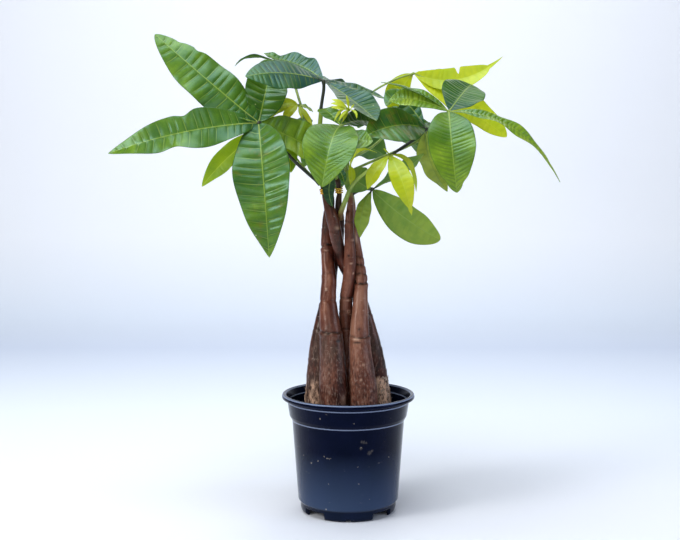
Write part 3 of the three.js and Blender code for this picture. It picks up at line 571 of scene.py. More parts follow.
def curl_tree():
    """Curls: short bent strips set at random on a surface, each along the stem and standing off it"""
    tree, add, given = new_tree("bark_curls", {
        "Geometry": "Geometry", "Density": "Float", "Length": "Float", "Width": "Float", "Lift": "Float",
        "Seed": "Int", "Material": "Material"})
    spots = add("GeometryNodeDistributePointsOnFaces", {
        "Mesh": given["Geometry"], "Density": given["Density"], "Seed": given["Seed"]})
    strip = add("GeometryNodeMeshGrid", {
        "Size X": given["Width"], "Size Y": given["Length"], "Vertices X": 3, "Vertices Y": 6})
    parts = add("SeparateXYZ", [add("GeometryNodeInputPosition")])
    along = add("Math", [parts.outputs["Y"], given["Length"]], operation="DIVIDE")
    risen = add("Math", [along, 0.5], operation="ADD")
    squared = add("Math", [risen, 2.0], operation="POWER")
    height = add("Math", [squared, given["Lift"]], operation="MULTIPLY")
    bent = add("GeometryNodeSetPosition", {"Geometry": strip, "Offset": add("CombineXYZ", {"Z": height})})
    thick = add("GeometryNodeExtrudeMesh", {
        "Mesh": bent, "Offset Scale": CURL_THICKNESS * MM, "Individual": False})
    under = add("GeometryNodeFlipFaces", {"Mesh": bent})
    closed = add("GeometryNodeJoinGeometry", [[thick, under]])
    size = add("FunctionNodeRandomValue", {0: (0.4, 0.35, 0.2), 1: (1.2, 1.1, 1.6), "Seed": 2},
               data_type="FLOAT_VECTOR")
    swing = add("FunctionNodeRandomValue", {2: -0.5, 3: 0.5, "Seed": 8}, data_type="FLOAT")
    upward = add("FunctionNodeAlignRotationToVector", {
        "Rotation": spots.outputs["Rotation"], "Vector": (0, 0, 1)}, axis="Y", pivot_axis="Z")
    aside = add("FunctionNodeRotateRotation", {
        "Rotation": upward, "Rotate By": add("CombineXYZ", {"Z": swing})}, rotation_space="LOCAL")
    curls = add("GeometryNodeInstanceOnPoints", {
        "Points": spots, "Instance": closed, "Rotation": aside, "Scale": size})
    solid = add("GeometryNodeRealizeInstances", [curls])
    dressed = add("GeometryNodeSetMaterial", {"Geometry": solid, "Material": given["Material"]})
    add("NodeGroupOutput", [dressed])
    return tree


curl_maker = curl_tree()
straw = dry_bark()
for name, peeling in PEELING.items():
    stem = bpy.data.objects[name + "_bark"].data
    low, high = peeling["lowest"] * MM, peeling["highest"] * MM
    outer = [tuple(face.vertices) for face in stem.polygons
             if low < face.center.z < high and abs(face.normal.z) < 0.9 and face.center.x * face.normal.x > 0]
    places = [vertex.co / MM for vertex in stem.vertices]
    curls = grow(new_piece(name + "_curls", places, outer, [straw]), curl_maker, {
        "Density": float(peeling["count_per_square_metre"]), "Seed": peeling["seed"],
        "Material": straw, **CURL})
    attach(curls, "root")

# Ties: a few close turns of gold-coloured wire hold two of the braid's tops together. Each is one
# length of anodised craft wire, 1.7 mm thick, twisted tight by hand.
TIES = {
    "tie_left": {"centre": (-31.3, -6.6, 396.5), "lean": (-1.5, -0.2, 7), "radius": 2.9, "turns": 3},
    "tie_middle": {"centre": (-11.5, 1.5, 398), "lean": (-1, -1, 10), "radius": 4.2, "turns": 3},
}
WIRE = {"radius": 0.85, "pitch": 2.3}


def gold_wire():
    # Gold-anodised wire: a deep yellow metal, bright where the light strikes it, with slight handling marks.
    material, add, place = new_material("gold_wire")
    worn = add("TexNoise", {"Vector": place, "Scale": 500, "Detail": 3})
    colour = add("ValToRGB", [worn], stops=[(0.35, "#f4ab1e"), (0.65, "#ffdc62")])
    rough = add("MapRange", [worn, 0.0, 1.0, 0.15, 0.35])
    shader = add("BsdfPrincipled", {"Base Color": colour, "Metallic": 0.6, "Roughness": rough})
    add("OutputMaterial", [shader])
    return material


def coil_tree():
    """A coil of wire: a spiral of so many turns, leant over and moved to its place, given its thickness"""
    tree, add, given = new_tree("wire_coil", {
        "Turns": "Float", "Radius": "Float", "Height": "Float", "Wire radius": "Float", "Lean": "Vector",
        "Centre": "Vector", "Material": "Material"})
    spiral = add("GeometryNodeCurveSpiral", {
        "Resolution": 24, "Rotations": given["Turns"], "Start Radius": given["Radius"],
        "End Radius": given["Radius"], "Height": given["Height"]})
    drop = add("CombineXYZ", {"Z": add("Math", [given["Height"], -0.5], operation="MULTIPLY")})
    centred = add("GeometryNodeTransform", {"Geometry": spiral, "Translation": drop})
    lean = add("FunctionNodeAlignRotationToVector", {"Vector": given["Lean"]}, axis="Z")
    placed = add("GeometryNodeTransform", {
        "Geometry": centred, "Rotation": lean, "Translation": given["Centre"]})
    section = add("GeometryNodeCurvePrimitiveCircle", {"Resolution": 10, "Radius": given["Wire radius"]})
    wire = add("GeometryNodeCurveToMesh", {"Curve": placed, "Profile Curve": section, "Fill Caps": True})
    dressed = add("GeometryNodeSetMaterial", {"Geometry": wire, "Material": given["Material"]})
    add("NodeGroupOutput", [dressed])
    return tree


coil_maker = coil_tree()
gold = gold_wire()
for name, tie in TIES.items():
    coil = grow(new_piece(name + "_wire", [], [], [gold]), coil_maker, {
        "Turns": float(tie["turns"]), "Radius": tie["radius"] * MM,
        "Height": tie["turns"] * WIRE["pitch"] * MM, "Wire radius": WIRE["radius"] * MM,
        "Lean": tie["lean"], "Centre": [c * MM for c in tie["centre"]], "Material": gold})
    coil.data.polygons.foreach_set("use_smooth", [True] * len(coil.data.polygons))
    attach(coil, "root")
    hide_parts(name)

# Leaves: palmate, four to six leaflets to a long stalk that thickens where it meets the stem and
# where the leaflets spread. A leaflet is thin and leathery, folded a little along its rib, puffed up
# between its side veins and waved at the edge. It is dark and glossy when old, yellow-green when young.
STALK_RADIUS = {"mature": 1.7, "young": 1.3}
STALK_STEP = 2.0
HUB_KNOB = {"more": 0.5, "reach": 2.4}
ROOT_KNOB = {"more": 0.55, "reach": 4}
ROOT_OFFSET = 1.4
BLADE_THICKNESS = 0.5
PUFF = {"mature": 0.14, "young": 0.05}
ROWS_PER_VEIN = 8
COLUMN_WIDTH = 2.6
MARGIN_COLUMN = 0.975
RIPPLE = {"half_waves": 5.5, "rise": 1.6}
FRILL = {"height": 0.012, "turns": 19, "rise": 3}
SWING = {"height": 1.6, "per_millimetre": 0.035}
RIDGE = {"height": 0.3, "half_width": 0.6}
KEEL = {"share_of_width": 0.03, "most": 1.2, "half_width": 0.8}
# Stalks are x, y and z from hub to root, with the radius where it changes. Blades are the middle of the
# midrib, the tip, the width, and what is special about the blade.
LEAVES = {
    "leaf_left_front": {
        "kind": "mature", "tone": 0.42, "stem": "dark", "stubs": "green", "veins": 11, "thick": 2.1,
        "face": (0, -0.75, 0.66),
        "stalk": [(-106, -45, 477), (-87, -40, 456), (-62, -28, 430), (-35, -8, 405, 1.6)],
        "blades": [
            ((-165, -38, 526), (-232, -15, 584), 55, {"face": (-0.25, -0.75, 0.6), "peak": 0.48, "full": 0.65,
             "fold": -6, "puff": 0.6, "notches": [(0.72, 1, 0.12, 0.03), (0.86, 1, 0.1, 0.025)],
             "blotch": 0.7}),
            ((-192, -62, 465), (-285, -40, 441), 50, {"face": (-0.05, -0.93, 0.35), "peak": 0.42, "fold": 8,
             "puff": 0.5, "notches": [(0.48, 1, 0.2, 0.05), (0.56, -1, 0.22, 0.08)]}),
            ((-97, -84, 398), (-92, -78, 320), 69, {"face": (-0.18, -0.93, 0.32), "peak": 0.37,
             "slants": (-0.03, -0.03), "blotch": 0.9}),
            ((-58, -34, 455), (-17, -14, 434), 58, {"peak": 0.45, "tone": 0.34}),
            ((-99, -12, 521), (-94, 22, 558), 52, {"face": (0.25, -0.8, 0.55), "peak": 0.45, "full": 0.65,
             "tone": -0.04}),
            ((-122, -50, 481), (-137, -46, 488), 5, {}),
        ],
    },
    "leaf_top": {
        "kind": "mature", "tone": 0.05, "stem": "dark", "veins": 7, "thick": 2.0, "face": (0, -0.5, 0.86),
        "stalk": [(-30, 0, 530), (-30, 1, 520), (-32, 1, 507), (-34, 2, 493)],
        "blades": [
            ((-76, -34, 536), (-120, -60, 529), 48, {"face": (-0.1, -0.84, 0.54), "peak": 0.55, "full": 0.8,
             "lean": -0.06, "fold": -3, "wave": 0.02, "puff": 0.7}),
            ((3, -26, 506), (32, -62, 478), 50, {"face": (0.3, -0.6, 0.74), "peak": 0.6, "wave": 0.03}),
            ((6, 22, 523), (47, 26, 511), 24, {"face": (0.3, -0.4, 0.86)}),
            ((-19, 48, 533), (11, 96, 523), 36, {}),
            ((-60, 28, 552), (-97, 48, 564), 40, {"face": (-0.1, -0.5, 0.86)}),
        ],
    },
    "leaf_centre": {
        "kind": "mature", "tone": 0.5, "stem": "green", "veins": 6, "face": (0, -0.5, 0.86),
        "stalk": [(-9, -48, 473), (-9, -36, 457), (-4, -16, 437), (-1, 1, 418)],
        "blades": [
            ((-20, -104, 451), (-30, -126, 401), 64, {"face": (0, -0.75, 0.66), "peak": 0.54, "full": 0.75,
             "wave": 0.03, "puff": 2.2, "slants": (-0.2, -0.12), "tone": 0.05}),
            ((5, -78, 458), (27, -94, 453), 42, {"face": (0.1, -0.8, 0.6), "full": 0.7, "lean": 0.3,
             "wave": 0.02}),
            ((-22, -34, 488), (-33, -16, 495), 27, {}),
            ((16, -24, 480), (44, -8, 474), 38, {"face": (0, -0.75, 0.66), "tone": -0.2}),
        ],
    },
    "leaf_right": {
        "kind": "mature", "tone": 0.32, "stem": "dark", "veins": 9, "thick": 2.0, "face": (0, -0.6, 0.8),
        "stalk": [(94, -10, 472), (75, -12, 456), (53, -14, 441), (24, -10, 419), (2, 0, 401)],
        "blades": [
            ((58, -40, 474), (20, -62, 461), 56, {"face": (-0.15, -0.88, 0.45), "full": 0.7, "lean": -0.12,
             "wave": 0.03, "blotch": 1}),
            ((76, 26, 489), (56, 54, 504), 24, {}),
            ((66, 6, 507), (46, -8, 499), 34, {"face": (-0.2, -0.7, 0.68)}),
            # This leaflet's pale yellow tone is partly its underside's own colour, partly painted light
            # shining through it from behind.
            ((100, 0, 435), (122, 4, 396), 40, {"face": (0.3, 0.6, 0.74), "tone": 0.6}),
            ((115, 36, 476), (134, 74, 465), 34, {"face": (0.1, 0, 1)}),
            ((87, 34, 478), (87, 66, 470), 32, {"face": (0, 0, 1)}),
        ],
    },
    "leaf_far_right": {
        "kind": "mature", "tone": 0.4, "stem": "green", "veins": 5.5, "face": (0, -0.6, 0.8),
        "stalk": [(118, -45, 490), (110, -20, 479), (96, 12, 464), (69, 20, 450), (40, 24, 438),
            (-1, 20, 420)],
        "blades": [
            ((79, -42, 504), (48, -36, 503), 33, {"face": (-0.15, -0.7, 0.7), "full": 0.7, "wave": 0.03,
             "tone": 0.31}),
            ((136, -12, 512), (152, 22, 528), 54, {"face": (0.25, -0.5, 0.83), "peak": 0.58, "full": 0.65,
             "fold": 8, "wave": 0.015, "tone": -0.2}),
            ((191, -62, 469), (247, -60, 407), 20, {"face": (0.38, -0.64, 0.67), "peak": 0.5, "full": 0.9,
             "tail": 0.1, "wave": 0.1, "tone": 0.3}),
            ((118, -84, 444), (124, -84, 395), 56, {"face": (0, -0.92, 0.4), "peak": 0.4, "full": 0.7,
             "fold": 10, "wave": 0.02, "slants": (-0.08, -0.08),
             "notches": [(0.86, 1, 0.12, 0.05), (0.9, -1, 0.2, 0.05)], "tone": 0.18}),
            ((76, -40, 514), (38, -36, 525), 9, {"face": (0, -0.3, 0.95), "wave": 0}),
        ],
    },
    "leaf_young_top": {
        "kind": "young", "tone": 0.72, "stem": "green", "veins": 8, "face": (0, -0.5, 0.86),
        "stalk": [(83, 50, 545), (59, 50, 537), (28, 46, 519), (6, 38, 491), (-4, 30, 460)],
        "blades": [
            ((140, 46, 537), (194, 40, 565), 33, {"face": (0, -0.9, 0.44), "peak": 0.52, "full": 0.5,
             "tail": 0.16, "wave": 0.02, "notches": [(0.5, -1, 0.55, 0.022)]}),
            ((141, 40, 506), (198, 30, 464), 45, {"face": (0.2, -0.85, 0.5), "full": 0.62, "wave": 0.03}),
            ((69, 72, 521), (77, 80, 492), 44, {"face": (-0.1, -0.95, 0.3), "full": 0.7}),
            ((115, 96, 549), (132, 132, 540), 30, {"face": (0, 0, 1)}),
        ],
    },
    "leaf_low_right": {
        "kind": "mature", "tone": 0.45, "stem": "dark", "veins": 9, "face": (0.2, 0.6, 0.75),
        "stalk": [(29, -12, 399), (19, -6, 399), (11, -2, 396), (3, -1, 392)],
        "blades": [
            ((65, -34, 367), (109, -44, 339), 46, {"face": (0.2, 0.92, 0.3), "full": 0.55, "lean": -0.25,
             "wave": 0.02, "tone": 0.15}),
            ((64, -14, 420), (91, -22, 442), 30, {"face": (-0.3, 0.5, 0.8)}),
            ((17, -14, 371), (14, -12, 340), 22, {"face": (0.5, 0.8, 0.2), "tone": 0.3}),
            ((12, -16, 408), (-3, -16, 421), 38, {"face": (-0.3, 0.8, 0.5)}),
        ],
    },
    "leaf_young_shoot": {
        "kind": "young", "tone": 0.74, "stem": "green", "veins": 7, "face": (0, -0.8, 0.6),
        "stalk": [(48, -60, 439), (36, -50, 430, 1.6), (23, -40, 421, 1.8), (4, -27, 403, 2.3),
            (-3, -20, 387, 3), (-9, -8, 371, 3.3), (-10, 4, 364, 3.3)],
        "blades": [
            ((32, -84, 421), (21, -86, 399), 18, {"face": (-0.3, -0.9, 0.3)}),
            ((61, -92, 406), (72, -88, 369), 26, {"face": (0, -0.95, 0.3), "peak": 0.48, "tail": 0.08}),
            ((71, -48, 429), (80, -44, 396), 10, {"face": (0.6, -0.7, 0.3)}),
            ((44, -66, 443), (40, -70, 446), 4, {}),
            ((4, -28, 415), (1, -28, 428), 9, {"from": (2, -26, 400)}),
            ((11, -34, 444), (34, -38, 442), 7, {"from": (2, -28, 423), "tail": 0.15}),
        ],
    },
    "spray_top": {
        "kind": "young", "tone": 0.8, "stem": "green", "veins": 5, "face": (0, -0.8, 0.6),
        "stalk": [(0, -58, 491), (-3, -46, 488), (-8, -32, 481), (-9, -20, 470), (-8, -6, 456)],
        "blades": [
            ((-10, -62, 499), (-20, -60, 503), 6, {"wave": 0}),
            ((-10, -65, 496), (-21, -66, 498), 6, {"wave": 0}),
            ((-10, -68, 492), (-21, -72, 493), 6, {"wave": 0}),
            ((-9, -66, 489), (-17, -66, 477), 4, {"wave": 0}),
            ((-6, -68, 486), (-12, -70, 477), 4, {"wave": 0}),
            ((-3, -62, 485), (-7, -60, 477), 3.5, {"wave": 0}),
            ((7, -66, 488), (9, -70, 480), 3.5, {"wave": 0}),
            ((-1, -64, 499), (-3, -66, 507), 3.5, {"wave": 0}),
            ((3, -64, 493), (6, -68, 497), 3, {"wave": 0}),
        ],
    },
    "leaf_young_left": {
        "kind": "young", "tone": 0.22, "stem": "green", "veins": 8, "face": (0, -0.7, 0.7),
        "stalk": [(-94, 8, 479), (-79, 8, 457), (-54, 4, 425), (-33, -7, 404)],
        "blades": [
            ((-143, 6, 442), (-180, 4, 402), 29, {"face": (-0.2, -0.9, 0.3), "wave": 0.03}),
            ((-76, -4, 449), (-70, -6, 419), 24, {"face": (0.1, -0.95, 0.2)}),
            ((-109, 44, 496), (-124, 84, 504), 26, {"face": (0, -0.2, 1)}),
            ((-81, 44, 484), (-72, 78, 481), 26, {"face": (0, -0.2, 1)}),
        ],
    },
    "spray_left": {
        "kind": "young", "tone": 0.8, "stem": "green", "veins": 6, "face": (0, -0.8, 0.6),
        "stalk": [(-61, 10, 502), (-56, 10, 491), (-48, 10, 474), (-41, 9, 456), (-34, 7, 441)],
        "blades": [
            ((-79, 4, 501), (-96, -6, 484), 20, {"face": (-0.2, -0.8, 0.5), "full": 0.7}),
            ((-70, -4, 494), (-79, -10, 481), 13, {"face": (-0.1, -0.9, 0.4)}),
            ((-53, 2, 491), (-43, -6, 474), 7, {"wave": 0}),
            ((-59, 2, 493), (-56, -4, 484), 4, {"wave": 0}),
            ((-52, 24, 500), (-44, 36, 496), 12, {"tone": -0.6}),
        ],
    },
    "leaf_thin_top": {
        "kind": "mature", "tone": 0.2, "stem": "green", "veins": 8, "face": (0, -0.5, 0.86),
        "stalk": [(-76, 78, 551), (-68, 70, 531), (-62, 58, 512), (-53, 40, 486), (-42, 20, 465),
            (-34, 6, 452)],
        "blades": [
            ((-119, 76, 569), (-145, 70, 556), 10, {"face": (0, 0.3, 0.95)}),
            ((-93, 84, 567), (-109, 90, 575), 18, {}),
            ((-56, 112, 553), (-44, 140, 543), 22, {"face": (0, 0, 1)}),
            ((-90, 116, 554), (-105, 148, 547), 24, {"face": (0, 0, 1)}),
        ],
    },
    "leaf_small_hanging": {
        "kind": "mature", "tone": 0.2, "stem": "green", "veins": 7, "face": (0, -0.9, 0.4),
        "stalk": [(-13, -32, 424), (-14, -18, 420), (-15, -2, 413)],
        "blades": [
            # This leaflet's dark tone is painted shade: it hangs in the shadow of the leaves above.
            ((-23, -36, 402), (-19, -26, 378), 15, {"face": (-0.2, 0.95, -0.2), "full": 0.7, "tone": -0.35}),
            ((-8, -40, 416), (-5, -42, 406), 10, {"face": (0, -0.95, 0.2)}),
        ],
    },
    "leaf_back_left": {
        "kind": "mature", "tone": 0.35, "stem": "green", "veins": 10, "face": (0, 0.3, 0.95),
        "stalk": [(-81, 88, 479), (-70, 78, 463), (-53, 52, 441), (-36, 24, 422), (-28, 10, 414)],
        "blades": [
            ((-134, 108, 503), (-178, 120, 510), 44, {}),
            ((-116, 140, 492), (-141, 178, 470), 46, {}),
            ((-70, 142, 490), (-63, 188, 468), 44, {}),
            ((-113, 96, 450), (-121, 98, 411), 36, {"face": (-0.3, 0.6, 0.7)}),
        ],
    },
    "leaf_back_right": {
        "kind": "mature", "tone": 0.4, "stem": "green", "veins": 10, "face": (0, 0.3, 0.95),
        "stalk": [(58, 92, 484), (47, 78, 468), (28, 56, 451), (-2, 24, 435)],
        "blades": [
            ((89, 122, 482), (118, 150, 470), 42, {}),
            ((66, 142, 495), (74, 186, 476), 48, {}),
            ((30, 130, 494), (15, 166, 483), 40, {}),
            ((81, 86, 463), (120, 84, 437), 40, {"face": (0.2, 0.5, 0.8)}),
        ],
    },
    "leaf_back_centre": {
        "kind": "mature", "tone": 0.3, "stem": "green", "veins": 10, "face": (0, 0.5, 0.85),
        "stalk": [(-10, 86, 450), (-8, 66, 437), (-3, 40, 423), (0, 18, 414)],
        "blades": [
            ((-39, 112, 451), (-59, 126, 428), 38, {"face": (-0.3, 0.5, 0.8)}),
            ((-12, 134, 438), (-13, 158, 395), 42, {"face": (0, -0.7, 0.7), "tone": -0.2}),
            ((23, 104, 455), (51, 104, 442), 48, {"face": (0.1, 0.8, 0.6)}),
        ],
    },
}


def leaf_skin(name, stops, ageing, rib_colour, groove_shade_colour, groove_shade_strength, gloss, glow):
    # Leaf tissue under a waxy cuticle: its colour varies with age along the blade, the midrib and the
    # side veins are paler lines, shade in the grooves beside the veins is painted darker, and some light
    # passes through.
    material, add, place = new_material(name)
    along, across, tone, rib, phase, blotch = (
        add("Attribute", attribute_name=label).outputs["Fac"]
        for label in ("along", "across", "tone", "rib", "phase", "blotch"))
    cloud = add("TexNoise", {"Vector": place, "Scale": 38, "Detail": 3, "Roughness": 0.6})
    drift = add("Math", [cloud, 0.8, -0.5], operation="MULTIPLY_ADD")
    age = add("Math", [along, ageing, drift], operation="MULTIPLY_ADD")
    shade = add("Math", [age, tone], operation="ADD", use_clamp=True)
    colour = add("ValToRGB", [shade], stops=stops)
    wrapped = add("Math", [phase, 1.0], operation="PINGPONG")
    from_vein = add("Math", [wrapped, 0.5], operation="PINGPONG")
    net = add("TexVoronoi", {"Vector": place, "Scale": 420}, feature="DISTANCE_TO_EDGE")
    net_line = add("MapRange", [net, 0.0, 0.16, 0.35 * groove_shade_strength, 0.0])
    edge = add("Math", [across], operation="ABSOLUTE")
    fading = add("MapRange", [edge, 0.45, 1.0, groove_shade_strength, 0.3 * groove_shade_strength])
    # Painted shade: a darker band beside each side vein, where the puffed blade dips into its groove.
    flank = add("MapRange", [from_vein, 0.02, 0.28, fading, 0.0])
    groove_shade_and_net = add("Math", [flank, net_line], operation="MAXIMUM")
    vein = add("MapRange", [from_vein, 0.012, 0.05, fading, 0.0])
    blot = add("TexNoise", {"Vector": place, "Scale": 95, "Detail": 4, "Roughness": 0.65})
    worn = add("Math", [blot, blotch], operation="MULTIPLY")
    rust = add("MapRange", [worn, 0.5, 0.66, 0.0, 0.5])
    rib_width = add("MapRange", [along, 0.0, 1.0, 0.75, 0.25])
    inside_rib = add("Math", [rib_width, rib], operation="SUBTRACT")
    midrib = add("MapRange", [inside_rib, -0.2, 0.12, 0.0, 0.72])
    cell = add("TexVoronoi", {"Vector": place, "Scale": 60}, feature="F1")
    pick = add("SeparateColor", [cell.outputs["Color"]])
    rare = add("Math", [pick.outputs["Green"], 0.76], operation="GREATER_THAN")
    dot = add("MapRange", [cell, 0.03, 0.065, 0.8, 0.0])
    fleck = add("Math", [rare, dot], operation="MULTIPLY")
    margin = add("MapRange", [edge, 0.94, 1.0, 0.0, 0.5])
    for mask, tint in ((groove_shade_and_net, groove_shade_colour), (vein, rib_colour), (rust, "#7f7026"),
                       (midrib, rib_colour), (fleck, "#c9d58c"), (margin, groove_shade_colour)):
        colour = add("Mix", {0: mask, 6: colour, 7: tint}, data_type="RGBA")
    sunk = add("Math", [flank, -1.0], operation="MULTIPLY")
    bump = add("Bump", {"Height": sunk, "Strength": 0.3, "Distance": 0.0006})
    surface = add("BsdfPrincipled", {"Base Color": colour, "Roughness": gloss, "Normal": bump,
                                     "Specular IOR Level": 0.6, "Specular Tint": "#b0e0dc"})
    through = add("HueSaturation", {"Hue": 0.485, "Saturation": 1.15, "Value": 1.5, "Color": colour})
    passing = add("BsdfTranslucent", [through])
    add("OutputMaterial", [add("MixShader", [glow, surface, passing])])
    return material


def stalk_skin(name, colour, shaded):
    # A leaf stalk: round, firm and slightly glossy, darker in streaks along its length. The lowest one,
    # the young shoot's, is brown and woody at its foot.
    material, add, place = new_material(name)
    woody = add("MapRange", [add("SeparateXYZ", [place]).outputs["Z"], 0.368, 0.384, 0.9, 0.0])
    long_way = add("Mapping", {"Vector": place, "Scale": (1, 1, 0.4)})
    streak = add("TexNoise", {"Vector": long_way, "Scale": 120, "Detail": 3})
    tint = add("ValToRGB", [streak], stops=[(0.35, shaded), (0.62, colour)])
    aged = add("Mix", {0: woody, 6: tint, 7: "#6f4a2c"}, data_type="RGBA")
    add("OutputMaterial", [add("BsdfPrincipled", {"Base Color": aged, "Roughness": 0.45})])
    return material


def eased(value, low, high):
    """A smooth step from 0 at low to 1 at high"""
    t = np.clip((value - low) / (high - low), 0, 1)
    return t * t * (3 - 2 * t)


def half_width(along, width, options):
    """How full a leaflet is along its rib, from 0 to 1, and the half width there in millimetres"""
    tail = options.get("tail", 0)
    grown = np.minimum(along / (1 - tail), 1)
    fullest = math.log(0.5) / math.log(options.get("peak", 0.55))
    swell = np.sin(np.pi * grown ** fullest) ** options.get("full", 0.85)
    drawn = 0.09 * width * np.minimum((1 - along) / tail, 1) if tail else 0
    least = np.where(along < 0.5, 1.1 * (1 - along) ** 2, 0.05 + drawn)
    return swell, np.maximum(width / 2 * swell, least)


def quads(grid):
    """The four-sided faces between the neighbouring points of a grid of point numbers"""
    return np.stack([grid[:-1, :-1], grid[:-1, 1:], grid[1:, 1:], grid[1:, :-1]], -1).reshape(-1, 4)


def shifted(direction, amount):
    """How far each point of a grid moves when each row has its own direction"""
    return direction[:, None, :] * amount[:, :, None]


def leaflet(hub, leaf, blade, number):
    """One leaflet as a grid of points, its faces above and below, and its surface values"""
    middle, tip, width, options = blade
    start = np.array(options.get("from", hub), float)[:3]
    middle, tip = np.array(middle, float), np.array(tip, float)
    bend = 2 * middle - (start + tip) / 2
    root = start + unit(bend - start) * ROOT_OFFSET
    length = np.linalg.norm(middle - root) + np.linalg.norm(tip - middle)
    pairs = max(4, round(length / leaf["veins"]))
    rows = max(16, pairs * ROWS_PER_VEIN)
    columns = int(np.clip(round(width / COLUMN_WIDTH), 6, 20)) // 2 * 2
    spread = np.linspace(-1, 1, columns + 1)
    across = np.sign(spread) * np.abs(spread) ** 1.15
    across = np.concatenate([[-1, -MARGIN_COLUMN], across[1:-1], [MARGIN_COLUMN, 1]])[None, :]
    side, out = np.sign(across), np.abs(across)
    even = np.linspace(0, 1, rows + 1)[:, None]
    along = even + 0.25 * even * (1 - even)
    centre = (1 - along) ** 2 * root + 2 * along * (1 - along) * bend + along ** 2 * tip
    tangent = unit(2 * (1 - along) * (bend - root) + 2 * along * (tip - bend))
    face = unit(np.array(options.get("face", leaf["face"]), float))
    sideways = unit(np.cross(tangent, face))
    upward = np.cross(sideways, tangent)
    swell, half = half_width(along, width, options)
    half = half * (1 + options.get("lean", 0) * side)
    for where, notched, depth, reach in options.get("notches", ()):
        half = half * (1 - depth * (side == notched) * np.exp(-((along - where) / reach) ** 2))
    wave = options.get("wave", 0.05) * width * swell
    ripple = wave * np.sin(RIPPLE["half_waves"] * np.pi * along + 1.4 * side) * out ** RIPPLE["rise"]
    frill = np.sin(FRILL["turns"] * along + 2.1 * side + number) * out ** FRILL["rise"] * swell
    fold = math.radians(options.get("fold", 14))
    slants = options.get("slants", (0.02, 0.02))
    phase = pairs * (along - np.where(side < 0, *slants) * out ** 1.3) + 0.35 * (across < 0)
    phase = phase + 0.18 * np.sin(1.9 * phase + number)
    fade = eased(out, 0.02, 0.22) * (1 - out ** 5) * np.sqrt(swell)
    puff = PUFF[leaf["kind"]] * options.get("puff", 1) * length / pairs
    lift = half * out ** 1.12 * math.sin(fold) + ripple + FRILL["height"] * width * frill
    lift = lift + puff * (np.abs(np.sin(np.pi * phase)) ** 0.8 - 0.6) * fade
    spot = centre[:, None, :] + shifted(sideways, across * half * math.cos(fold)) + shifted(upward, lift)
    layer = Vector((0, 0, number))
    swing = np.array([noise.noise(Vector(place) * SWING["per_millimetre"] + layer)
                      for place in spot.reshape(-1, 3)])
    spot = spot + shifted(upward, SWING["height"] * swing.reshape(phase.shape) * out * np.sqrt(swell))
    thickness = BLADE_THICKNESS / 2 * np.sqrt(np.clip(1 - out ** 8, 0, 1)) + 0 * along
    ridge = RIDGE["height"] * np.exp(-(across * half / RIDGE["half_width"]) ** 2) * (1 - 0.6 * along)
    keel = min(KEEL["share_of_width"] * width, KEEL["most"]) * (1 - 0.7 * along)
    keel = keel * np.exp(-(across * half / KEEL["half_width"]) ** 2)
    upper = np.arange(phase.size).reshape(phase.shape)
    lower = upper.copy()
    inside = (slice(1, -1), slice(1, -1))
    lower[inside] = phase.size + np.arange(lower[inside].size).reshape(lower[inside].shape)
    flat = np.zeros(phase.shape)
    values = {
        "along": along + flat, "across": across + flat, "phase": phase, "rib": np.abs(across * half),
        "tone": leaf["tone"] + options.get("tone", 0) + flat, "blotch": options.get("blotch", 0) + flat,
    }
    values = {label: np.concatenate([grid.ravel(), grid[inside].ravel()]) for label, grid in values.items()}
    above = spot + shifted(upward, thickness + ridge)
    below = spot - shifted(upward, thickness + keel)
    points = np.concatenate([above.reshape(-1, 3), below[inside].reshape(-1, 3)])
    return points, quads(upper), quads(lower)[:, ::-1], values, (root, bend, tip)


def stalk_tree():
    """Stalks: the paths of a curve object, given their thickness and joined to the blades"""
    tree, add, given = new_tree("leaf_stalk", {
        "Geometry": "Geometry", "Path": "Object", "Sides": "Int", "Material": "Material"})
    path = add("GeometryNodeObjectInfo", {"Object": given["Path"]}).outputs["Geometry"]
    section = add("GeometryNodeCurvePrimitiveCircle", {"Resolution": given["Sides"], "Radius": MM})
    stalk = add("GeometryNodeCurveToMesh", {
        "Curve": path, "Profile Curve": section, "Scale": add("GeometryNodeInputRadius"), "Fill Caps": True})
    smooth = add("GeometryNodeSetShadeSmooth", {"Geometry": stalk})
    dressed = add("GeometryNodeSetMaterial", {"Geometry": smooth, "Material": given["Material"]})
    add("NodeGroupOutput", [add("GeometryNodeJoinGeometry", [[given["Geometry"], dressed]])])
    return tree


def add_stalks(piece, strands, material, maker):
    """Adds round stalks to a piece, each strand the points of its path and its radius at each of them"""
    curve = bpy.data.curves.new("stalk_paths", "CURVE")
    curve.dimensions = "3D"
    for places, sizes in strands:
        spline = curve.splines.new("POLY")
        spline.points.add(len(places) - 1)
        for point, place, size in zip(spline.points, places, sizes):
            point.co = (*(place * MM), 1)
            point.radius = size
    path = bpy.data.objects.new("stalk_paths", curve)
    bpy.context.scene.collection.objects.link(path)
    grow(piece, maker, {"Path": path, "Sides": 10, "Material": material})
    bpy.data.objects.remove(path)


def long_stalk(leaf):
    """The path and radii of the leaf's own stalk, swollen where it meets the trunk and the leaflets"""
    thick = leaf.get("thick", STALK_RADIUS[leaf["kind"]])
    stations = [tuple(station) + (thick,) * (4 - len(station)) for station in leaf["stalk"]]
    points, radii, _ = smooth_path(stations, STALK_STEP)
    run = np.concatenate([[0], np.cumsum(np.linalg.norm(np.diff(points, axis=0), axis=1))])
    swelling = 1
    for away, knob in ((run, HUB_KNOB), (run[-1] - run, ROOT_KNOB)):
        swelling = swelling + knob["more"] * np.exp(-(away / knob["reach"]) ** 2)
    radii = radii * swelling
    cap = points[0] + unit(points[0] - points[1]) * thick
    return np.vstack([cap, points]), np.concatenate([[thick * 0.6], radii])


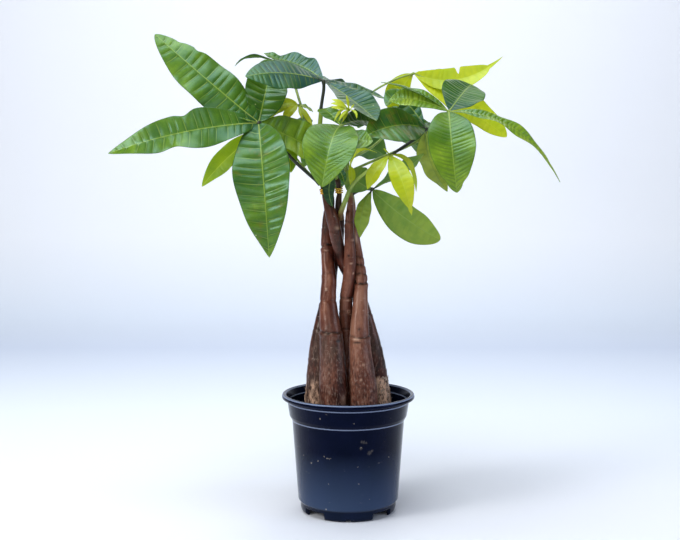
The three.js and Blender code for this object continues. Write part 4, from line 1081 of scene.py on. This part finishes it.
def leaflet_stem(leaf, root, bend, tip):
    """The path and radii of a leaflet's short stem, which runs out into its midrib"""
    size = min(1.0, np.linalg.norm(tip - root) / 60) * STALK_RADIUS[leaf["kind"]]
    steps = np.linspace(-0.02, 0.16, 6)[:, None]
    stem = (1 - steps) ** 2 * root + 2 * steps * (1 - steps) * bend + steps ** 2 * tip
    return stem, np.linspace(0.75, 0.3, 6) * size


def leaf_piece(name, leaf, number, skins, stems, maker):
    """One leaf: its leaflets, their short stems and its stalk as one mesh"""
    points, faces, slots, strands, layers = [], [], [], [], []
    offset = 0
    for order, blade in enumerate(leaf["blades"]):
        places, upper, lower, values, ribs = leaflet(leaf["stalk"][0], leaf, blade, number * 7 + order)
        for side, grid in enumerate((upper, lower)):
            faces.extend((grid + offset).tolist())
            slots.extend([side] * len(grid))
        points.append(places)
        layers.append(values)
        if "from" not in blade[3]:
            strands.append(leaflet_stem(leaf, *ribs))
        offset += len(places)
    piece = new_piece(name + "_fine", np.vstack(points), faces, skins)
    piece.data.polygons.foreach_set("material_index", slots)
    mark_points(piece, {label: np.concatenate([values[label] for values in layers]) for label in layers[0]})
    add_stalks(piece, strands, stems[leaf.get("stubs", leaf["stem"])], maker)
    add_stalks(piece, [long_stalk(leaf)], stems[leaf["stem"]], maker)
    return piece


# In each skin, the fifth and sixth values are the colour and strength of the painted groove shade.
leaf_skins = {
    "mature": [
        # The darkest stop is bluish teal: partly the old leaves' waxy bloom, partly painted sheen of the
        # light overhead.
        leaf_skin("mature_leaf_upper",
                  [(0.0, "#285044"), (0.3, "#3c6620"), (0.55, "#5a7f1c"), (0.8, "#80a024"), (1.0, "#a3b638")],
                  0.3, "#93ab42", "#28500f", 0.62, 0.3, 0.2),
        leaf_skin("mature_leaf_under",
                  [(0.0, "#2f4a22"), (0.3, "#5c8632"), (0.5, "#7a9c36"), (1.0, "#b6c44c")],
                  0.2, "#93ad50", "#56802f", 0.16, 0.55, 0.3),
    ],
    "young": [
        leaf_skin("young_leaf_upper",
                  [(0.0, "#7fa414"), (0.4, "#a9c01c"), (0.7, "#c4ce20"), (1.0, "#d6d84a")],
                  0.08, "#c4d244", "#93ab1c", 0.15, 0.4, 0.35),
        leaf_skin("young_leaf_under", [(0.0, "#93ad28"), (0.5, "#b6c62c"), (1.0, "#ccd148")],
                  0.08, "#c6d25c", "#98a53a", 0.12, 0.5, 0.35),
    ],
}
# The dark stalks are near black: partly their own colour, partly painted shade from the leaves above them.
stems = {"dark": stalk_skin("dark_and_shaded_stalk", "#2b351a", "#171d0e"),
         "green": stalk_skin("green_stalk", "#93a845", "#718a35")}
stalk_maker = stalk_tree()
for number, (name, leaf) in enumerate(LEAVES.items()):
    fine_leaf = leaf_piece(name, leaf, number, leaf_skins[leaf["kind"]], stems, stalk_maker)
    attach(fine_leaf, "root")
    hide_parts(name)

# Studio: a pale seamless sweep of paper under and behind the plant, a wide soft light overhead, a
# large one at the front left, weaker ones at the right and behind, and a camera as in the photo.
FOCAL_PIXELS = 1050
IMAGE_WIDTH = 680
SENSOR_WIDTH = 36
CAMERA_PLACE = (-10.2, -1291, 398)
CAMERA_TILT = 0.076
# The sweep and the lamps are in metres. A lamp is its place, aim, diameter, watts and colour.
SWEEP = {"front": -2.0, "bend": 1.7, "radius": 0.8, "top": 1.7, "half_width": 4.0}
SOFT_LIGHTS = {
    "overhead": ((-0.4, -0.4, 2.1), (0, 0, 0.36), 1.6, 36, "#f2f8ff"),
    "window_left": ((-1.7, -1.0, 1.1), (0, 0, 0.25), 0.8, 22, "#ffffff"),
    "front": ((-0.3, -2.2, 1.0), (0, 0, 0.36), 1.2, 9, "#ffffff"),
    "fill_right": ((1.9, -0.6, 0.8), (0, 0, 0.3), 1.2, 13, "#d5e4ff"),
    "behind": ((0.5, 1.3, 1.7), (0, 0, 0.36), 1.0, 6, "#fffdf5"),
    "backdrop": ((0, 0.7, 2.7), (0, 2.5, 1.4), 2.0, 36, "#f4f8ff"),
}


def studio_paper():
    # Background paper: matte and off-white, tinted blue, with a darker band some way behind the plant as
    # painted shade and paler paper above as painted light. The run is how far along the paper a place is,
    # from 0.5 m in front of the plant.
    material, add, place = new_material("studio_paper")
    parts = add("SeparateXYZ", [place]).outputs
    run = add("MapRange", [add("Math", [parts["Y"], parts["Z"]], operation="ADD"), -0.5, 4.0])
    tint = add("ValToRGB", [run], stops=[(0.11, "#e2e4ea"), (0.24, "#dce2ea"), (0.41, "#c9d2e2"),
                                         (0.53, "#dde5f0"), (0.67, "#f4f6fa"), (0.87, "#fdfdff")])
    add("OutputMaterial", [add("BsdfPrincipled", {"Base Color": tint, "Roughness": 0.75})])
    return material


bends = [math.radians(6 * step) for step in range(16)]
sweep_line = [(SWEEP["front"], 0)]
sweep_line += [(SWEEP["bend"] + SWEEP["radius"] * math.sin(turn), SWEEP["radius"] * (1 - math.cos(turn)))
               for turn in bends]
sweep_line += [(SWEEP["bend"] + SWEEP["radius"], SWEEP["top"])]
sweep_points = [(side * SWEEP["half_width"] / MM, y / MM, z / MM) for y, z in sweep_line for side in (-1, 1)]
sweep_faces = [(at, at + 1, at + 3, at + 2) for at in range(0, len(sweep_points) - 2, 2)]
new_piece("studio_sweep", sweep_points, sweep_faces, [studio_paper()])

for name, (place, aim, size, watts, colour) in SOFT_LIGHTS.items():
    light = bpy.data.lights.new(name, "AREA")
    light.shape = "DISK"
    light.size = size
    light.energy = watts
    light.color = linear(colour)[:3]
    lamp = bpy.data.objects.new(name, light)
    lamp.location = place
    lamp.rotation_euler = (Vector(aim) - Vector(place)).to_track_quat("-Z", "Y").to_euler()
    bpy.context.scene.collection.objects.link(lamp)

sky = bpy.data.worlds.new("studio_air")
sky.use_nodes = True
sky.node_tree.nodes["Background"].inputs["Color"].default_value = linear("#eaf2ff")
sky.node_tree.nodes["Background"].inputs["Strength"].default_value = 0.16
bpy.context.scene.world = sky
bpy.context.scene.view_settings.view_transform = "Standard"

lens = bpy.data.cameras.new("camera")
lens.sensor_fit = "HORIZONTAL"
lens.sensor_width = SENSOR_WIDTH
lens.lens = FOCAL_PIXELS * SENSOR_WIDTH / IMAGE_WIDTH
lens.clip_end = 20
camera = bpy.data.objects.new("camera", lens)
camera.location = [c * MM for c in CAMERA_PLACE]
camera.rotation_euler = (math.pi / 2 - CAMERA_TILT, 0, 0)
bpy.context.scene.collection.objects.link(camera)
bpy.context.scene.camera = camera
